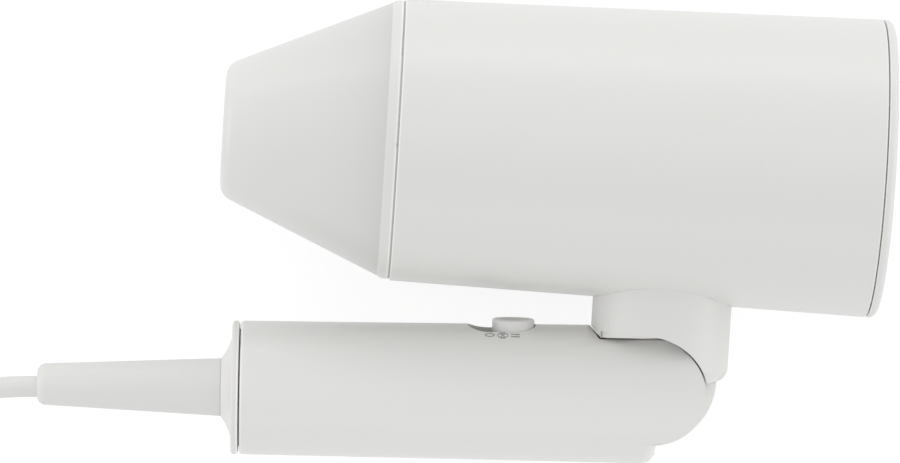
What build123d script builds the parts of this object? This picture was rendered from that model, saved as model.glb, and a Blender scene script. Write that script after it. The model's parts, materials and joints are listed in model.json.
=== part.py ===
from build123d import *
from math import cos, pi, radians, sin, sqrt, tan
import os

# Folding hair dryer, lying on its side on the floor (Z = 0) with its handle folded under the barrel.
# X runs along the barrel from the nozzle to the intake, Y from the handle to the barrel, Z up.
# Millimetres and degrees.

# Barrel: a tube that widens slightly towards the intake
barrel_length = 123.4
barrel_rear_radius = 38.6
barrel_widening = 2.2
barrel_front_radius = barrel_rear_radius - barrel_widening
barrel_wall = 2.2
edge_rounding = 0.35

# Nozzle: a bevelled band, then a cone
nozzle_length = 45.0
nozzle_band = 2.7
band_inset = 0.35
band_step = 0.85
band_ledge = 0.2
nozzle_band_radius = barrel_front_radius - band_step
nozzle_tip_radius = 16.9
nozzle_mouth_radius = 13.0
nozzle_mouth_depth = 4.0
nozzle_tip_rounding = 4.3
nozzle_wall = 1.9
spigot_depth = 7.0
spigot_inset = 5.5
spigot_radius = barrel_front_radius - spigot_inset
spigot_wall = 1.5

# Intake cover: rim and slotted face
cover_depth = 2.4
cover_corner = 1.9
cover_recess = 0.6
cover_wall = 1.6
cover_skirt = 3.2
cover_margin = 3.0
slot_rows = 6
slot_width = 2.4
slot_pitch = 4.6
slot_first_radius = 6.5
slot_bridges = 6
filter_thickness = 0.5
guard_thickness = 2.0
guard_spokes = 6
guard_rim = 3.0
guard_bar = 1.5
guard_rings = (0.68, 0.4)

# Fits
seam_gap = 0.35
fit_gap = 0.1
running_gap = 0.06

# Neck: a round sleeve square to the barrel, cut to clear the folding joint
neck_behind = 52.4
neck_place = barrel_length - neck_behind
neck_radius = 18.0
neck_wall = 2.0
neck_foot_wall = 3.2
neck_foot_height = 5.0
neck_foot = 3.1
neck_strip_foot = 13.2
neck_strip_width = 2.3
neck_chamfer = 2.4
neck_foot_bevel = 3.1
neck_foot_inset = 2.4
neck_foot_round = 1.2
lip_step = 0.9
lip_end = -4.2
arc_radius = 17.35
arc_shift_x = -2.7
arc_shift_y = -2.3

# Folding joint
pivot_below = 22.0
pivot_drop = barrel_rear_radius + pivot_below
pivot_offset = 1.5
fold_splay = 2.41
cheek_gap = 0.4
cheek_plate = 2.5
tongue_thickness = 12.0
tongue_radius = 14.1
tongue_reach = 16.45
tongue_lift = 3.0
tongue_front = 12.7
heel_inset = 0.25
heel_turn = 40.0
pin_radius = 5.0
pin_bore = 3.4
pin_head = 7.5
pin_flange = 1.2
pin_stub = 1.0
clip_radius = 6.9
clip_thickness = 0.8
clip_mouth = 6.0
plate_thickness = 2.6
plate_below = 3.6
plate_drop = barrel_rear_radius + plate_below
ledge_height = 1.5
ledge_width = 1.4
post_inset = 6.2
post_circle = neck_radius - post_inset
post_radius = 2.5
wire_way = 7.4
passage_radius = 7.2
neck_screw_radius = 1.2
neck_screw_head = 2.2
neck_screw_grip = 0.8

# Handle: a tube split along its length into two shells
handle_length = 106.4
handle_tip_radius = 17.3
handle_hinge_radius = 17.9
handle_wall = 2.0
handle_end_rounding = 3.5
wall_end = 1.2
notch_floor = 13.4
notch_start = 16.4
notch_foot = 13.95
slot_gap = 0.3
slot_back = 2.2
slot_front_gap = 1.2
first_post = 14.0
second_post = 36.0
hinge_post = 26.0
board_shelves = (61.0, 42.0, 22.5)
handle_post_radius = 3.1
handle_screw_radius = 1.2
handle_screw_head = 2.5
handle_screw_head_depth = 1.75
handle_screw_grip = 5.6

# End cap, strain relief and cord
cap_rim = 1.9
cap_depth = 4.6
cap_spigot = 5.0
cap_flat_radius = 13.3
cap_hollow = 0.2
cap_rounding = 0.8
relief_length = 47.6
relief_base_radius = 7.5
relief_tip_radius = 5.3
relief_rounding = 2.2
relief_root = 8.0
relief_collar = 1.8
cord_radius = 2.75
cord_drop = 0.7
coil_inner = 22.5
coil_outer = 39.5
coil_height = 16.5
coil_place = (-80.7, 31.2)
tie_width = 6.0
tie_thickness = 0.8
plug_width = 35.0
plug_height = 26.0
plug_face = 10.0
plug_waist = 16.0
plug_waist_width = 19.0
plug_waist_height = 15.0
plug_neck = 8.8
plug_neck_radius = 4.4
plug_corner = 11.0
plug_waist_corner = 6.5
plug_edge = 1.0
plug_heading = 15.0
plug_pin_radius = 2.4
plug_pin_length = 19.0
plug_pin_spacing = 19.0
plug_pin_rounding = 1.4
clamp_inset = 9.0
clamp_width = 6.0
clamp_thickness = 3.0
clamp_half = 8.5
lead_radius = 1.1
lead_straight = 9.0
lead_rise = 4.0
lead_landing = 8.0
lead_bend = 5.5
bundle_radius = 1.8
bundle_landing = 12.0
bundle_straight = 5.0
bundle_step = 1.0
bundle_over = 3.2
bundle_bend = 3.2

# Slide switch
switch_place = 36.0
switch_travel = 6.0
button_length = 10.9
button_width = 13.8
button_corner = 5.3
button_height = 1.3
button_dish = 0.9
button_gap = 0.25
button_rim = 0.6
button_edge = 0.45
carrier_thickness = 1.2
carrier_top = 11.7
carrier_width = 16.0
carrier_overlap = 0.9
carrier_corner = 2.0
switch_body_length = 22.0
switch_body_width = 12.0
switch_peg = 3.0
switch_peg_depth = 2.4
board_length = 44.0
board_width = 25.0
board_thickness = 1.6
board_top = 1.4
board_end = 19.6
shelf_width = 2.5
shelf_depth = 2.6

# Air path inside the barrel
outlet_depth = 9.0
grille_thickness = 1.6
grille_rings = 4
grille_bar = 1.1
grille_inset = 1.0
grille_spokes = 6
outlet_lead_in = 0.4
hub_radius = 3.6
emitter_radius = 2.2
emitter_flange = 1.2
needle_radius = 0.5
needle_length = 4.0
needle_taper = 5.0
heater_inset = 7.9
heater_radius = barrel_front_radius - heater_inset
heater_wall = 0.7
wire_space = 7.9
board_gap = 0.4
board_setback = 1.4
mica_thickness = 0.8
mica_arms = 3
coil_inset = 3.6
coil_radius = heater_radius - coil_inset
coil_wire = 1.2
coil_turns = 9
coil_margin = 5.0
coil_link = 0.96
thermostat_inset = 8.0
thermostat_out = 0.55
thermostat_length = 9.0
thermostat_width = 8.0
thermostat_corner = 1.0
thermostat_base = 2.0
thermostat_cup_radius = 3.2
thermostat_cup = 1.4
fuse_along = 0.36
fuse_out = 0.425
fuse_radius = 1.4
fuse_length = 11.0
block_length = 4.0
block_height = 7.0
block_width = 11.0
ionizer_inset = 12.0
ionizer_length = 24.0
ionizer_width = 15.0
ionizer_height = 4.6
motor_radius = 14.4
motor_length = 34.0
motor_corner = 1.5
motor_bearing_radius = 4.0
motor_bearing = 2.0
sleeve_wall = 1.6
stator_length = 22.0
stator_wall = 1.8
stator_vanes = 7
vane_thickness = 1.2
vane_twist = 22.0
vane_inset = 2.5
gasket_width = 4.0
gasket_thickness = 1.5
gasket_inset = 1.0
shaft_radius = 1.15
shaft_end_gap = 0.5
shaft_cover = 2.0
fan_gap = 1.6
fan_room = 3.0
fan_hub_radius = 14.0
fan_hub_depth = 11.0
fan_hub_wall = 1.5
fan_hub_face = 3.0
fan_hub_corner = 2.5
fan_boss_radius = 3.0
fan_lead = 2.0
fan_blades = 9
blade_thickness = 1.1
blade_root_chord = 9.6
blade_tip_chord = 12.0
blade_root_pitch = 50.0
blade_tip_pitch = 28.0
fan_tip_gap = 0.9

# Places derived from the sizes above
mid_z = barrel_rear_radius
splay_cos, splay_sin = cos(radians(fold_splay)), sin(radians(fold_splay))
handle_reach = handle_length + seam_gap + cap_rim
handle_depth = pivot_drop + (pivot_offset + handle_tip_radius) * splay_cos + handle_reach * splay_sin
front_x = (nozzle_length - barrel_length - seam_gap - cover_depth) / 2
barrel_y = (handle_depth - barrel_rear_radius) / 2
pivot = Vector(front_x + neck_place - pivot_offset, barrel_y - pivot_drop, mid_z)

# barrel_side: local x along the barrel from its front edge, local y up from its axis.
# fold_side: the same directions from the pivot. handle_side: local x along the handle from the pivot.
barrel_side = Plane(origin=(front_x, barrel_y, mid_z), x_dir=(1, 0, 0), z_dir=(0, 0, 1))
fold_side = Plane(origin=pivot, x_dir=(1, 0, 0), z_dir=(0, 0, 1))
handle_side = Plane(origin=pivot, x_dir=(splay_cos, splay_sin, 0), z_dir=(0, 0, 1))
barrel_axis = Axis(barrel_side.origin, barrel_side.x_dir)
handle_line = Axis(handle_side.from_local_coords((0, -pivot_offset, 0)), handle_side.x_dir)
neck_line = Axis((front_x + neck_place, barrel_y, mid_z), (0, -1, 0))
both_ways = 60.0

# Places along the barrel: the motor follows the intake end, and the heater fills what is left
guard_seat = barrel_length - cover_skirt - guard_thickness - fit_gap
fan_front = guard_seat - fan_room - fan_hub_depth
motor_rear = fan_front - fan_gap
motor_front = motor_rear - motor_length
stator_front = motor_rear - stator_length
heater_front = outlet_depth + grille_thickness
heater_rear = motor_front - wire_space
heater_length = heater_rear - heater_front


def barrel_radius(along):
    """Outer radius of the barrel at a distance behind its front edge."""
    return barrel_front_radius + (barrel_rear_radius - barrel_front_radius) * along / barrel_length


def bore_radius(along):
    """Radius of the barrel's bore, which tapers with its outside."""
    return barrel_radius(along) - barrel_wall


def handle_radius(along):
    """Outer radius of the handle at a distance from the pivot towards its free end."""
    return handle_hinge_radius + (handle_tip_radius - handle_hinge_radius) * along / handle_length


def across_barrel(along):
    """Plane square to the barrel, facing the intake: local x is up, local y is +Z."""
    return Plane(origin=(front_x + along, barrel_y, mid_z), x_dir=(0, 1, 0), z_dir=(1, 0, 0))


def across_neck(down):
    """Plane square to the neck, facing the barrel: local x runs along the barrel."""
    return Plane(origin=(front_x + neck_place, barrel_y - down, mid_z), x_dir=(1, 0, 0), z_dir=(0, 1, 0))


def under_handle(height):
    """Plane parallel to the handle's switch side at a height over the pivot, facing the barrel."""
    origin = handle_side.from_local_coords((0, height, 0))
    return Plane(origin=origin, x_dir=handle_side.x_dir, z_dir=handle_side.y_dir)


# Nozzle: cone, bevelled band and mouth in one moulding
rise = (nozzle_band_radius - nozzle_tip_radius) / (nozzle_length - nozzle_band)
band_bore = nozzle_band_radius - nozzle_wall * (1 + rise)
flange_seat = -seam_gap - nozzle_wall
with BuildPart() as nozzle:
    with BuildSketch(barrel_side) as nozzle_profile:
        with BuildLine():
            Polyline(
                (-seam_gap, barrel_front_radius - band_inset),
                (-nozzle_band, nozzle_band_radius + band_ledge),
                (-nozzle_band, nozzle_band_radius),
                (-nozzle_length, nozzle_tip_radius),
                (-nozzle_length, nozzle_mouth_radius),
                (nozzle_mouth_depth - nozzle_length, nozzle_mouth_radius),
                (-nozzle_band - nozzle_wall, band_bore),
                (flange_seat, band_bore),
                (flange_seat, spigot_radius + fit_gap),
                (-seam_gap, spigot_radius + fit_gap),
                close=True,
            )
        make_face()
        fillet(nozzle_profile.vertices().group_by(Axis.X)[0].sort_by(Axis.Y)[-1], nozzle_tip_rounding)
        fillet(nozzle_profile.vertices().group_by(Axis.X)[-1].sort_by(Axis.Y)[-1], edge_rounding)
    revolve(axis=barrel_axis)
nozzle.part.label = "nozzle"

# Spigot: the heat-resistant ring that pushes into the barrel's mouth
with BuildPart() as nozzle_spigot:
    with BuildSketch(barrel_side):
        with BuildLine():
            Polyline(
                (flange_seat - spigot_wall, band_bore - fit_gap),
                (flange_seat - spigot_wall, spigot_radius - spigot_wall),
                (spigot_depth, spigot_radius - spigot_wall),
                (spigot_depth, spigot_radius),
                (flange_seat, spigot_radius),
                (flange_seat, band_bore - fit_gap),
                close=True,
            )
        make_face()
    revolve(axis=barrel_axis)
nozzle_spigot.part.label = "nozzle_spigot"

# Barrel housing: the tapered tube, with a shoulder for the intake guard, the neck's cable
# passage and four posts that the neck is screwed to
rear_bore = barrel_rear_radius - cover_wall
post_top = sqrt(bore_radius(neck_place) ** 2 - (post_circle / sqrt(2)) ** 2) + barrel_wall / 2
with BuildPart() as barrel_housing:
    with BuildSketch(barrel_side) as barrel_profile:
        with BuildLine():
            Polyline(
                (0, barrel_front_radius),
                (barrel_length, barrel_rear_radius),
                (barrel_length, rear_bore),
                (guard_seat, rear_bore),
                (guard_seat, bore_radius(guard_seat)),
                (0, bore_radius(0)),
                close=True,
            )
        make_face()
        for end in [0, -1]:
            fillet(barrel_profile.vertices().group_by(Axis.X)[end].sort_by(Axis.Y)[-1], edge_rounding)
    revolve(axis=barrel_axis)
    with BuildSketch(across_neck(0)):
        Circle(passage_radius)
    extrude(amount=-barrel_rear_radius - barrel_wall, mode=Mode.SUBTRACT)
    with BuildSketch(across_neck(plate_drop)):
        with PolarLocations(post_circle, 4, start_angle=45):
            Circle(post_radius)
    extrude(amount=plate_drop - post_top)
    with BuildSketch(across_neck(plate_drop)):
        with PolarLocations(post_circle, 4, start_angle=45):
            Circle(neck_screw_radius + fit_gap / 2)
    extrude(amount=plate_drop - post_top, mode=Mode.SUBTRACT)
barrel_housing.part.label = "barrel_housing"

# Neck lip: a ring set back from the neck's outside, which closes the front wall down to the
# handle's notch. It stays inside the strip on the left and ends short of the cheeks' round.
strip_edge = neck_strip_width - neck_radius + pivot_offset
chamfer_top = neck_strip_foot + neck_chamfer
lip_root = strip_edge - neck_strip_width / 4
lip_top = arc_shift_y + arc_radius + neck_wall
with BuildPart() as neck_lip:
    with BuildSketch(across_neck(pivot_drop)):
        Circle(neck_radius - lip_step)
        Circle(neck_radius - neck_wall, mode=Mode.SUBTRACT)
    extrude(amount=lip_top)
    with BuildSketch(fold_side):
        Polygon(
            (lip_root, lip_top),
            (lip_root, chamfer_top),
            (strip_edge, neck_strip_foot),
            (lip_end, neck_strip_foot + (lip_end - strip_edge) * tan(radians(fold_splay))),
            (lip_end, lip_top),
            align=None,
        )
    extrude(amount=both_ways, both=True, mode=Mode.INTERSECT)

# Neck sleeve: turned profile, saddle top, then the lower edge that clears the handle's cheeks
foot = pivot_drop - neck_foot
foot_wall_top = foot - neck_foot_height
neck_plane = Plane(origin=(front_x + neck_place, barrel_y, mid_z), x_dir=(1, 0, 0), z_dir=(0, 0, 1))
with BuildPart() as neck:
    with BuildSketch(neck_plane) as neck_profile:
        with BuildLine():
            Polyline(
                (neck_radius, 0),
                (neck_radius, neck_foot_bevel - foot),
                (neck_radius - neck_foot_inset, -foot),
                (neck_radius - neck_foot_wall, -foot),
                (neck_radius - neck_foot_wall, -foot_wall_top),
                (neck_radius - neck_wall, -foot_wall_top + neck_foot_wall - neck_wall),
                (neck_radius - neck_wall, -plate_drop),
                (neck_radius - neck_wall - ledge_width, -plate_drop),
                (neck_radius - neck_wall - ledge_width, ledge_height - plate_drop),
                (neck_radius - neck_wall, ledge_height + ledge_width - plate_drop),
                (neck_radius - neck_wall, 0),
                close=True,
            )
        make_face()
        bevel_top = neck_profile.vertices().group_by(Axis.X)[-1].sort_by(Axis.Y)[0]
        fillet(bevel_top, neck_foot_round)
    revolve(axis=neck_line)
    with BuildSketch(barrel_side):
        with BuildLine():
            Polyline(
                (0, 0),
                (0, barrel_front_radius + fit_gap),
                (barrel_length, barrel_rear_radius + fit_gap),
                (barrel_length, 0),
                close=True,
            )
        make_face()
    revolve(axis=barrel_axis, mode=Mode.SUBTRACT)
    with BuildSketch(fold_side):
        with BuildLine():
            edge = Line((strip_edge, neck_strip_foot), (strip_edge, arc_shift_y + arc_radius))
            flat = Line(edge @ 1, (arc_shift_x, arc_shift_y + arc_radius))
            sweep_arc = CenterArc((arc_shift_x, arc_shift_y), arc_radius, 90, -110)
            Polyline(
                sweep_arc @ 1,
                (strip_edge, (sweep_arc @ 1).Y),
                (-both_ways, (sweep_arc @ 1).Y),
                (-both_ways, chamfer_top),
                (pivot_offset - neck_radius, chamfer_top),
                edge @ 0,
            )
        make_face()
    extrude(amount=both_ways, both=True, mode=Mode.SUBTRACT)
    add(neck_lip.part)
neck.part.label = "neck"

# Hinge tongue: base plate screwed to the posts, and the round-ended tongue that turns between
# the handle's cheeks
tongue_top = pivot_drop - plate_drop - plate_thickness
plate_radius = neck_radius - neck_wall - fit_gap
foot_bore = neck_radius - neck_foot_wall
foot_inside = sqrt(foot_bore**2 - (tongue_thickness / 2) ** 2) + pivot_offset - 2 * fit_gap
heel_radius = arc_radius - heel_inset
heel_x = tongue_reach - heel_radius
front_end = sqrt(tongue_radius**2 - tongue_front**2)
nose_end = -sqrt(tongue_radius**2 - heel_x**2)
with BuildPart() as hinge_tongue:
    with BuildSketch(across_neck(plate_drop + plate_thickness)):
        Circle(plate_radius)
    extrude(amount=plate_thickness)
    with BuildSketch(fold_side):
        with BuildLine():
            front = Line((-tongue_front, tongue_top), (-tongue_front, front_end))
            nose = ThreePointArc(front @ 1, (-tongue_radius, 0), (heel_x, nose_end))
            heel = ThreePointArc(
                nose @ 1,
                (
                    heel_x + heel_radius * cos(radians(heel_turn)),
                    tongue_lift - heel_radius * sin(radians(heel_turn)),
                ),
                (tongue_reach, tongue_lift),
            )
            Polyline(
                heel @ 1,
                (foot_inside, tongue_lift),
                (foot_inside, tongue_top),
                front @ 0,
            )
        make_face()
    extrude(amount=tongue_thickness / 2, both=True)
    with BuildSketch(fold_side):
        Circle(pin_radius + running_gap)
    extrude(amount=tongue_thickness, both=True, mode=Mode.SUBTRACT)
    with BuildSketch(across_neck(pivot_drop)):
        with Locations((-pivot_offset, 0)):
            Rectangle(wire_way, wire_way)
    extrude(amount=pivot_drop - plate_drop, mode=Mode.SUBTRACT)
    with BuildSketch(across_neck(plate_drop)):
        with PolarLocations(post_circle, 4, start_angle=45):
            Circle(neck_screw_radius + fit_gap)
    extrude(amount=-plate_thickness, mode=Mode.SUBTRACT)
hinge_tongue.part.label = "hinge_tongue"

# Neck screws, heads under the base plate
with BuildPart() as neck_screws:
    with BuildSketch(across_neck(plate_drop + plate_thickness)):
        with PolarLocations(post_circle, 4, start_angle=45):
            Circle(neck_screw_radius)
    extrude(amount=plate_thickness + (plate_drop - post_top) * neck_screw_grip)
    with BuildSketch(across_neck(plate_drop + plate_thickness)):
        with PolarLocations(post_circle, 4, start_angle=45):
            Circle(neck_screw_head)
    extrude(amount=-neck_screw_radius)
neck_screws.part.label = "neck_screws"

# Handle: the outer form of both shells, worked as one and then split along its middle
cheek_radius = arc_radius - cheek_gap
cheek_reach = cheek_radius - sqrt(arc_shift_x**2 + arc_shift_y**2)
slot_half = tongue_thickness / 2 + slot_gap
sweep_radius = tongue_reach - slot_gap / 2 + slot_gap
inner_reach = cheek_reach - handle_wall
slot_wall = -sweep_radius - slot_back
notch_slope = (handle_hinge_radius - pivot_offset - notch_floor) / (notch_start - notch_foot)
with BuildPart() as handle_form:
    with BuildSketch(handle_side) as tube_profile:
        with BuildLine():
            Polyline(
                (-handle_length, -pivot_offset),
                (-handle_length, handle_tip_radius - pivot_offset),
                (wall_end, handle_radius(-wall_end) - pivot_offset),
                (wall_end, -pivot_offset),
                close=True,
            )
        make_face()
        fillet(tube_profile.vertices().group_by(Axis.X)[-1].sort_by(Axis.Y)[-1], handle_end_rounding)
        fillet(tube_profile.vertices().group_by(Axis.X)[0].sort_by(Axis.Y)[-1], cap_rounding)
    revolve(axis=handle_line)
    # notch for the neck
    notch_top = notch_floor + notch_slope * both_ways
    with BuildSketch(handle_side):
        Polygon(
            (-notch_foot - both_ways, notch_top),
            (-notch_foot, notch_floor),
            (both_ways, notch_floor),
            (both_ways, notch_top),
            align=None,
        )
    extrude(amount=both_ways, both=True, mode=Mode.SUBTRACT)

# Cheeks: the tube carried on past the wall's end. Above the point where the two arcs touch they
# follow the neck's arc, and below it they stay inside the round that the neck sweeps.
arcs_touch = -arc_shift_y * cheek_reach / sqrt(arc_shift_x**2 + arc_shift_y**2)
with BuildPart() as cheek_form:
    with BuildSketch(handle_side):
        with BuildLine():
            Polyline(
                (-notch_foot, -pivot_offset),
                (-notch_foot, handle_radius(notch_foot) - pivot_offset),
                (arc_radius, handle_radius(-arc_radius) - pivot_offset),
                (arc_radius, -pivot_offset),
                close=True,
            )
        make_face()
    revolve(axis=handle_line)
    with BuildSketch(fold_side):
        with Locations((arc_shift_x, arc_shift_y)):
            Circle(cheek_radius)
        with Locations((0, arcs_touch)):
            Rectangle(both_ways, both_ways, align=(Align.MIN, Align.MAX), mode=Mode.SUBTRACT)
        Circle(cheek_reach)
    extrude(amount=both_ways, both=True, mode=Mode.INTERSECT)
    with BuildSketch(handle_side):
        Rectangle(both_ways, notch_floor, align=(Align.CENTER, Align.MIN))
        Circle(cheek_reach)
    extrude(amount=both_ways, both=True, mode=Mode.INTERSECT)

# Cavity: the tube's bore, and a pocket behind each cheek
with BuildPart() as handle_cavity:
    with BuildSketch(handle_side):
        with BuildLine():
            Polyline(
                (-handle_length - seam_gap, -pivot_offset),
                (-handle_length - seam_gap, handle_radius(handle_length) - handle_wall - pivot_offset),
                (inner_reach, handle_radius(-inner_reach) - handle_wall - pivot_offset),
                (inner_reach, -pivot_offset),
                close=True,
            )
        make_face()
    revolve(axis=handle_line)
    with BuildSketch(handle_side):
        Circle(inner_reach)
        with Locations((0, notch_floor - handle_wall)):
            Rectangle(both_ways, both_ways, align=(Align.MAX, Align.MAX))
        with Locations((-notch_start, 0)):
            Rectangle(both_ways * 3, both_ways, align=(Align.MAX, Align.CENTER))
    extrude(amount=both_ways, both=True, mode=Mode.INTERSECT)
    with BuildSketch(handle_side):
        with Locations((slot_wall, 0)):
            Rectangle(both_ways, both_ways, align=(Align.MIN, Align.CENTER))
    extrude(amount=slot_half + cheek_plate, both=True, mode=Mode.SUBTRACT)

with BuildPart() as handle_blank:
    add(handle_form.part)
    add(cheek_form.part)
    add(handle_cavity.part, mode=Mode.SUBTRACT)
    # slot that the tongue turns in
    with BuildSketch(handle_side):
        Circle(sweep_radius)
        with Locations((-tongue_front - slot_front_gap, 0)):
            Rectangle(both_ways, both_ways, align=(Align.MIN, Align.MIN))
    extrude(amount=slot_half, both=True, mode=Mode.SUBTRACT)
    # bore for the hinge pin
    with BuildSketch(handle_side):
        Circle(pin_radius + fit_gap / 2)
    extrude(amount=slot_half + cheek_plate, both=True, mode=Mode.SUBTRACT)
    # opening for the slide switch
    with BuildSketch(under_handle(0)):
        with Locations((-switch_place - switch_travel / 2, 0)):
            RectangleRounded(
                button_length + switch_travel + 2 * button_gap, button_width + 2 * button_gap, button_corner
            )
    extrude(amount=both_ways, mode=Mode.SUBTRACT)

# Inner features shared by both shells: screw posts and shelves for the switch board
post_places = [first_post - handle_length, second_post - handle_length, -hinge_post]
post_height = -pivot_offset - handle_tip_radius + handle_wall + handle_post_radius
shelf_places = [-place for place in board_shelves]
shelf_top = board_top - board_thickness
with BuildPart() as handle_inside:
    with BuildSketch(handle_side):
        with Locations(*[(place, post_height) for place in post_places]):
            Circle(handle_post_radius)
        with Locations(*[(place, post_height) for place in post_places]):
            Rectangle(2 * handle_post_radius, both_ways, align=(Align.CENTER, Align.MAX))
    extrude(amount=both_ways, both=True)
    with BuildSketch(under_handle(shelf_top)):
        for side in [1, -1]:
            with Locations(*[(place, side * (board_width / 2 - shelf_width)) for place in shelf_places]):
                Rectangle(shelf_depth, both_ways, align=(Align.CENTER, Align.MIN if side > 0 else Align.MAX))
    extrude(amount=-shelf_depth)
    with BuildSketch(handle_side):
        with BuildLine():
            Polyline(
                (-handle_length + cap_spigot, -pivot_offset),
                (-handle_length + cap_spigot, handle_radius(handle_length) - handle_wall / 2 - pivot_offset),
                (slot_wall, handle_radius(-slot_wall) - handle_wall / 2 - pivot_offset),
                (slot_wall, -pivot_offset),
                close=True,
            )
        make_face()
    revolve(axis=handle_line, mode=Mode.INTERSECT)

# Left shell faces up as the dryer lies, right shell faces down and takes the screws
screw_seat = -handle_radius(handle_length) / 2
with BuildPart() as handle_shell_left:
    add(handle_blank.part)
    add(handle_inside.part)
    split(bisect_by=handle_side, keep=Keep.TOP)
    with BuildSketch(handle_side):
        with Locations(*[(place, post_height) for place in post_places]):
            Circle(handle_screw_radius + fit_gap / 2)
    extrude(amount=handle_screw_grip + seam_gap, mode=Mode.SUBTRACT)
handle_shell_left.part.label = "handle_shell_left"

with BuildPart() as handle_shell_right:
    add(handle_blank.part)
    add(handle_inside.part)
    split(bisect_by=handle_side, keep=Keep.BOTTOM)
    with BuildSketch(handle_side):
        with Locations(*[(place, post_height) for place in post_places]):
            Circle(handle_screw_radius + fit_gap)
    extrude(amount=-both_ways, mode=Mode.SUBTRACT)
    with BuildSketch(handle_side.offset(screw_seat)):
        with Locations(*[(place, post_height) for place in post_places]):
            Circle(handle_screw_head + fit_gap)
    extrude(amount=-both_ways, mode=Mode.SUBTRACT)
handle_shell_right.part.label = "handle_shell_right"

with BuildPart() as handle_screws:
    with BuildSketch(handle_side.offset(screw_seat)):
        with Locations(*[(place, post_height) for place in post_places]):
            Circle(handle_screw_radius)
    extrude(amount=handle_screw_grip - screw_seat)
    with BuildSketch(handle_side.offset(screw_seat)):
        with Locations(*[(place, post_height) for place in post_places]):
            Circle(handle_screw_head)
    extrude(amount=-handle_screw_head_depth)
handle_screws.part.label = "handle_screws"

# End cap: a rim flush with the tube, a flat ring, a hollow cone up to the strain relief, and a
# spigot inside the shells
cap_face = -handle_length - seam_gap
collar_radius = relief_base_radius + relief_collar
with BuildPart() as end_cap:
    with BuildSketch(handle_side) as cap_profile:
        with BuildLine():
            outline = Polyline(
                (cap_face, -pivot_offset),
                (cap_face + cap_spigot, -pivot_offset),
                (cap_face + cap_spigot, handle_tip_radius - handle_wall - fit_gap - pivot_offset),
                (cap_face, handle_tip_radius - handle_wall - fit_gap - pivot_offset),
                (cap_face, handle_tip_radius - pivot_offset),
                (cap_face - cap_rim, handle_tip_radius - pivot_offset),
                (cap_face - cap_rim, cap_flat_radius - pivot_offset),
            )
            cone_end = (cap_face - cap_depth, relief_base_radius + fit_gap - pivot_offset)
            cone = SagittaArc(outline @ 1, cone_end, cap_hollow)
            Polyline(cone @ 1, (cap_face - cap_depth, -pivot_offset), outline @ 0)
        make_face()
        fillet(cap_profile.vertices().sort_by(Axis.Y)[-2:], cap_rounding)
    revolve(axis=handle_line)
    with BuildSketch(handle_side):
        with BuildLine():
            Polyline(
                (cap_face - cap_depth - seam_gap, -pivot_offset),
                (cap_face - cap_depth - seam_gap, relief_base_radius + fit_gap - pivot_offset),
                (cap_face, relief_base_radius + fit_gap - pivot_offset),
                (cap_face, collar_radius + fit_gap - pivot_offset),
                (cap_face + cap_spigot + seam_gap, collar_radius + fit_gap - pivot_offset),
                (cap_face + cap_spigot + seam_gap, -pivot_offset),
                close=True,
            )
        make_face()
    revolve(axis=handle_line, mode=Mode.SUBTRACT)
end_cap.part.label = "end_cap"

# Strain relief: tapered boot with a collar held behind the cap
relief_end = cap_face - cap_depth - relief_length
with BuildPart() as strain_relief:
    with BuildSketch(handle_side) as relief_profile:
        with BuildLine():
            Polyline(
                (relief_end, -pivot_offset),
                (relief_end, relief_tip_radius - pivot_offset),
                (cap_face - cap_depth, relief_base_radius - pivot_offset),
                (cap_face, relief_base_radius - pivot_offset),
                (cap_face, collar_radius - pivot_offset),
                (cap_face + relief_root - cap_depth, collar_radius - pivot_offset),
                (cap_face + relief_root - cap_depth, -pivot_offset),
                close=True,
            )
        make_face()
        fillet(relief_profile.vertices().group_by(Axis.X)[0].sort_by(Axis.Y)[-1], relief_rounding)
    revolve(axis=handle_line)
strain_relief.part.label = "strain_relief"

# Hinge pin: a hollow pin that carries the wires through the joint, with a friction washer
pin_length = slot_half + cheek_plate
with BuildPart() as hinge_pin:
    with BuildSketch(handle_side.offset(-pin_length)):
        Circle(pin_radius)
        Circle(pin_bore, mode=Mode.SUBTRACT)
    extrude(amount=2 * pin_length + pin_stub)
    with BuildSketch(handle_side.offset(-pin_length)):
        Circle(pin_head)
        Circle(pin_bore, mode=Mode.SUBTRACT)
    extrude(amount=-pin_flange)
    # window that the wires leave by, towards the neck
    with BuildSketch(across_neck(pivot_drop)):
        with Locations((-pivot_offset, 0)):
            Rectangle(pin_bore * 2, wire_way)
    extrude(amount=both_ways, mode=Mode.SUBTRACT)
hinge_pin.part.label = "hinge_pin"

with BuildPart() as pin_clip:
    with BuildSketch(handle_side.offset(pin_length + fit_gap / 2)):
        Circle(clip_radius)
        Circle(pin_radius + fit_gap / 2, mode=Mode.SUBTRACT)
        with Locations((pin_head / 2, 0)):
            Rectangle(pin_head, clip_mouth, mode=Mode.SUBTRACT)
    extrude(amount=clip_thickness)
pin_clip.part.label = "pin_clip"

# Slide switch: button and carrier move as one along the handle
tube_top = handle_radius(switch_place) - pivot_offset
opening_length = button_length + switch_travel + 2 * button_gap
dish_span = button_length / 2 - button_rim
dish_radius = (dish_span**2 + button_dish**2) / (2 * button_dish)
with BuildPart() as switch_button:
    with BuildSketch(under_handle(carrier_top)):
        with Locations((-switch_place, 0)):
            RectangleRounded(button_length, button_width, button_corner)
    extrude(amount=tube_top + button_height - carrier_top)
    rim = switch_button.faces().sort_by(Axis(pivot, handle_side.y_dir))[-1].edges()
    fillet(rim, button_edge)
    dish_centre = (-switch_place, tube_top + button_height - button_dish + dish_radius, 0)
    with Locations(handle_side.from_local_coords(dish_centre)):
        Sphere(dish_radius, mode=Mode.SUBTRACT)
switch_button.part.label = "switch_button"

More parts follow.
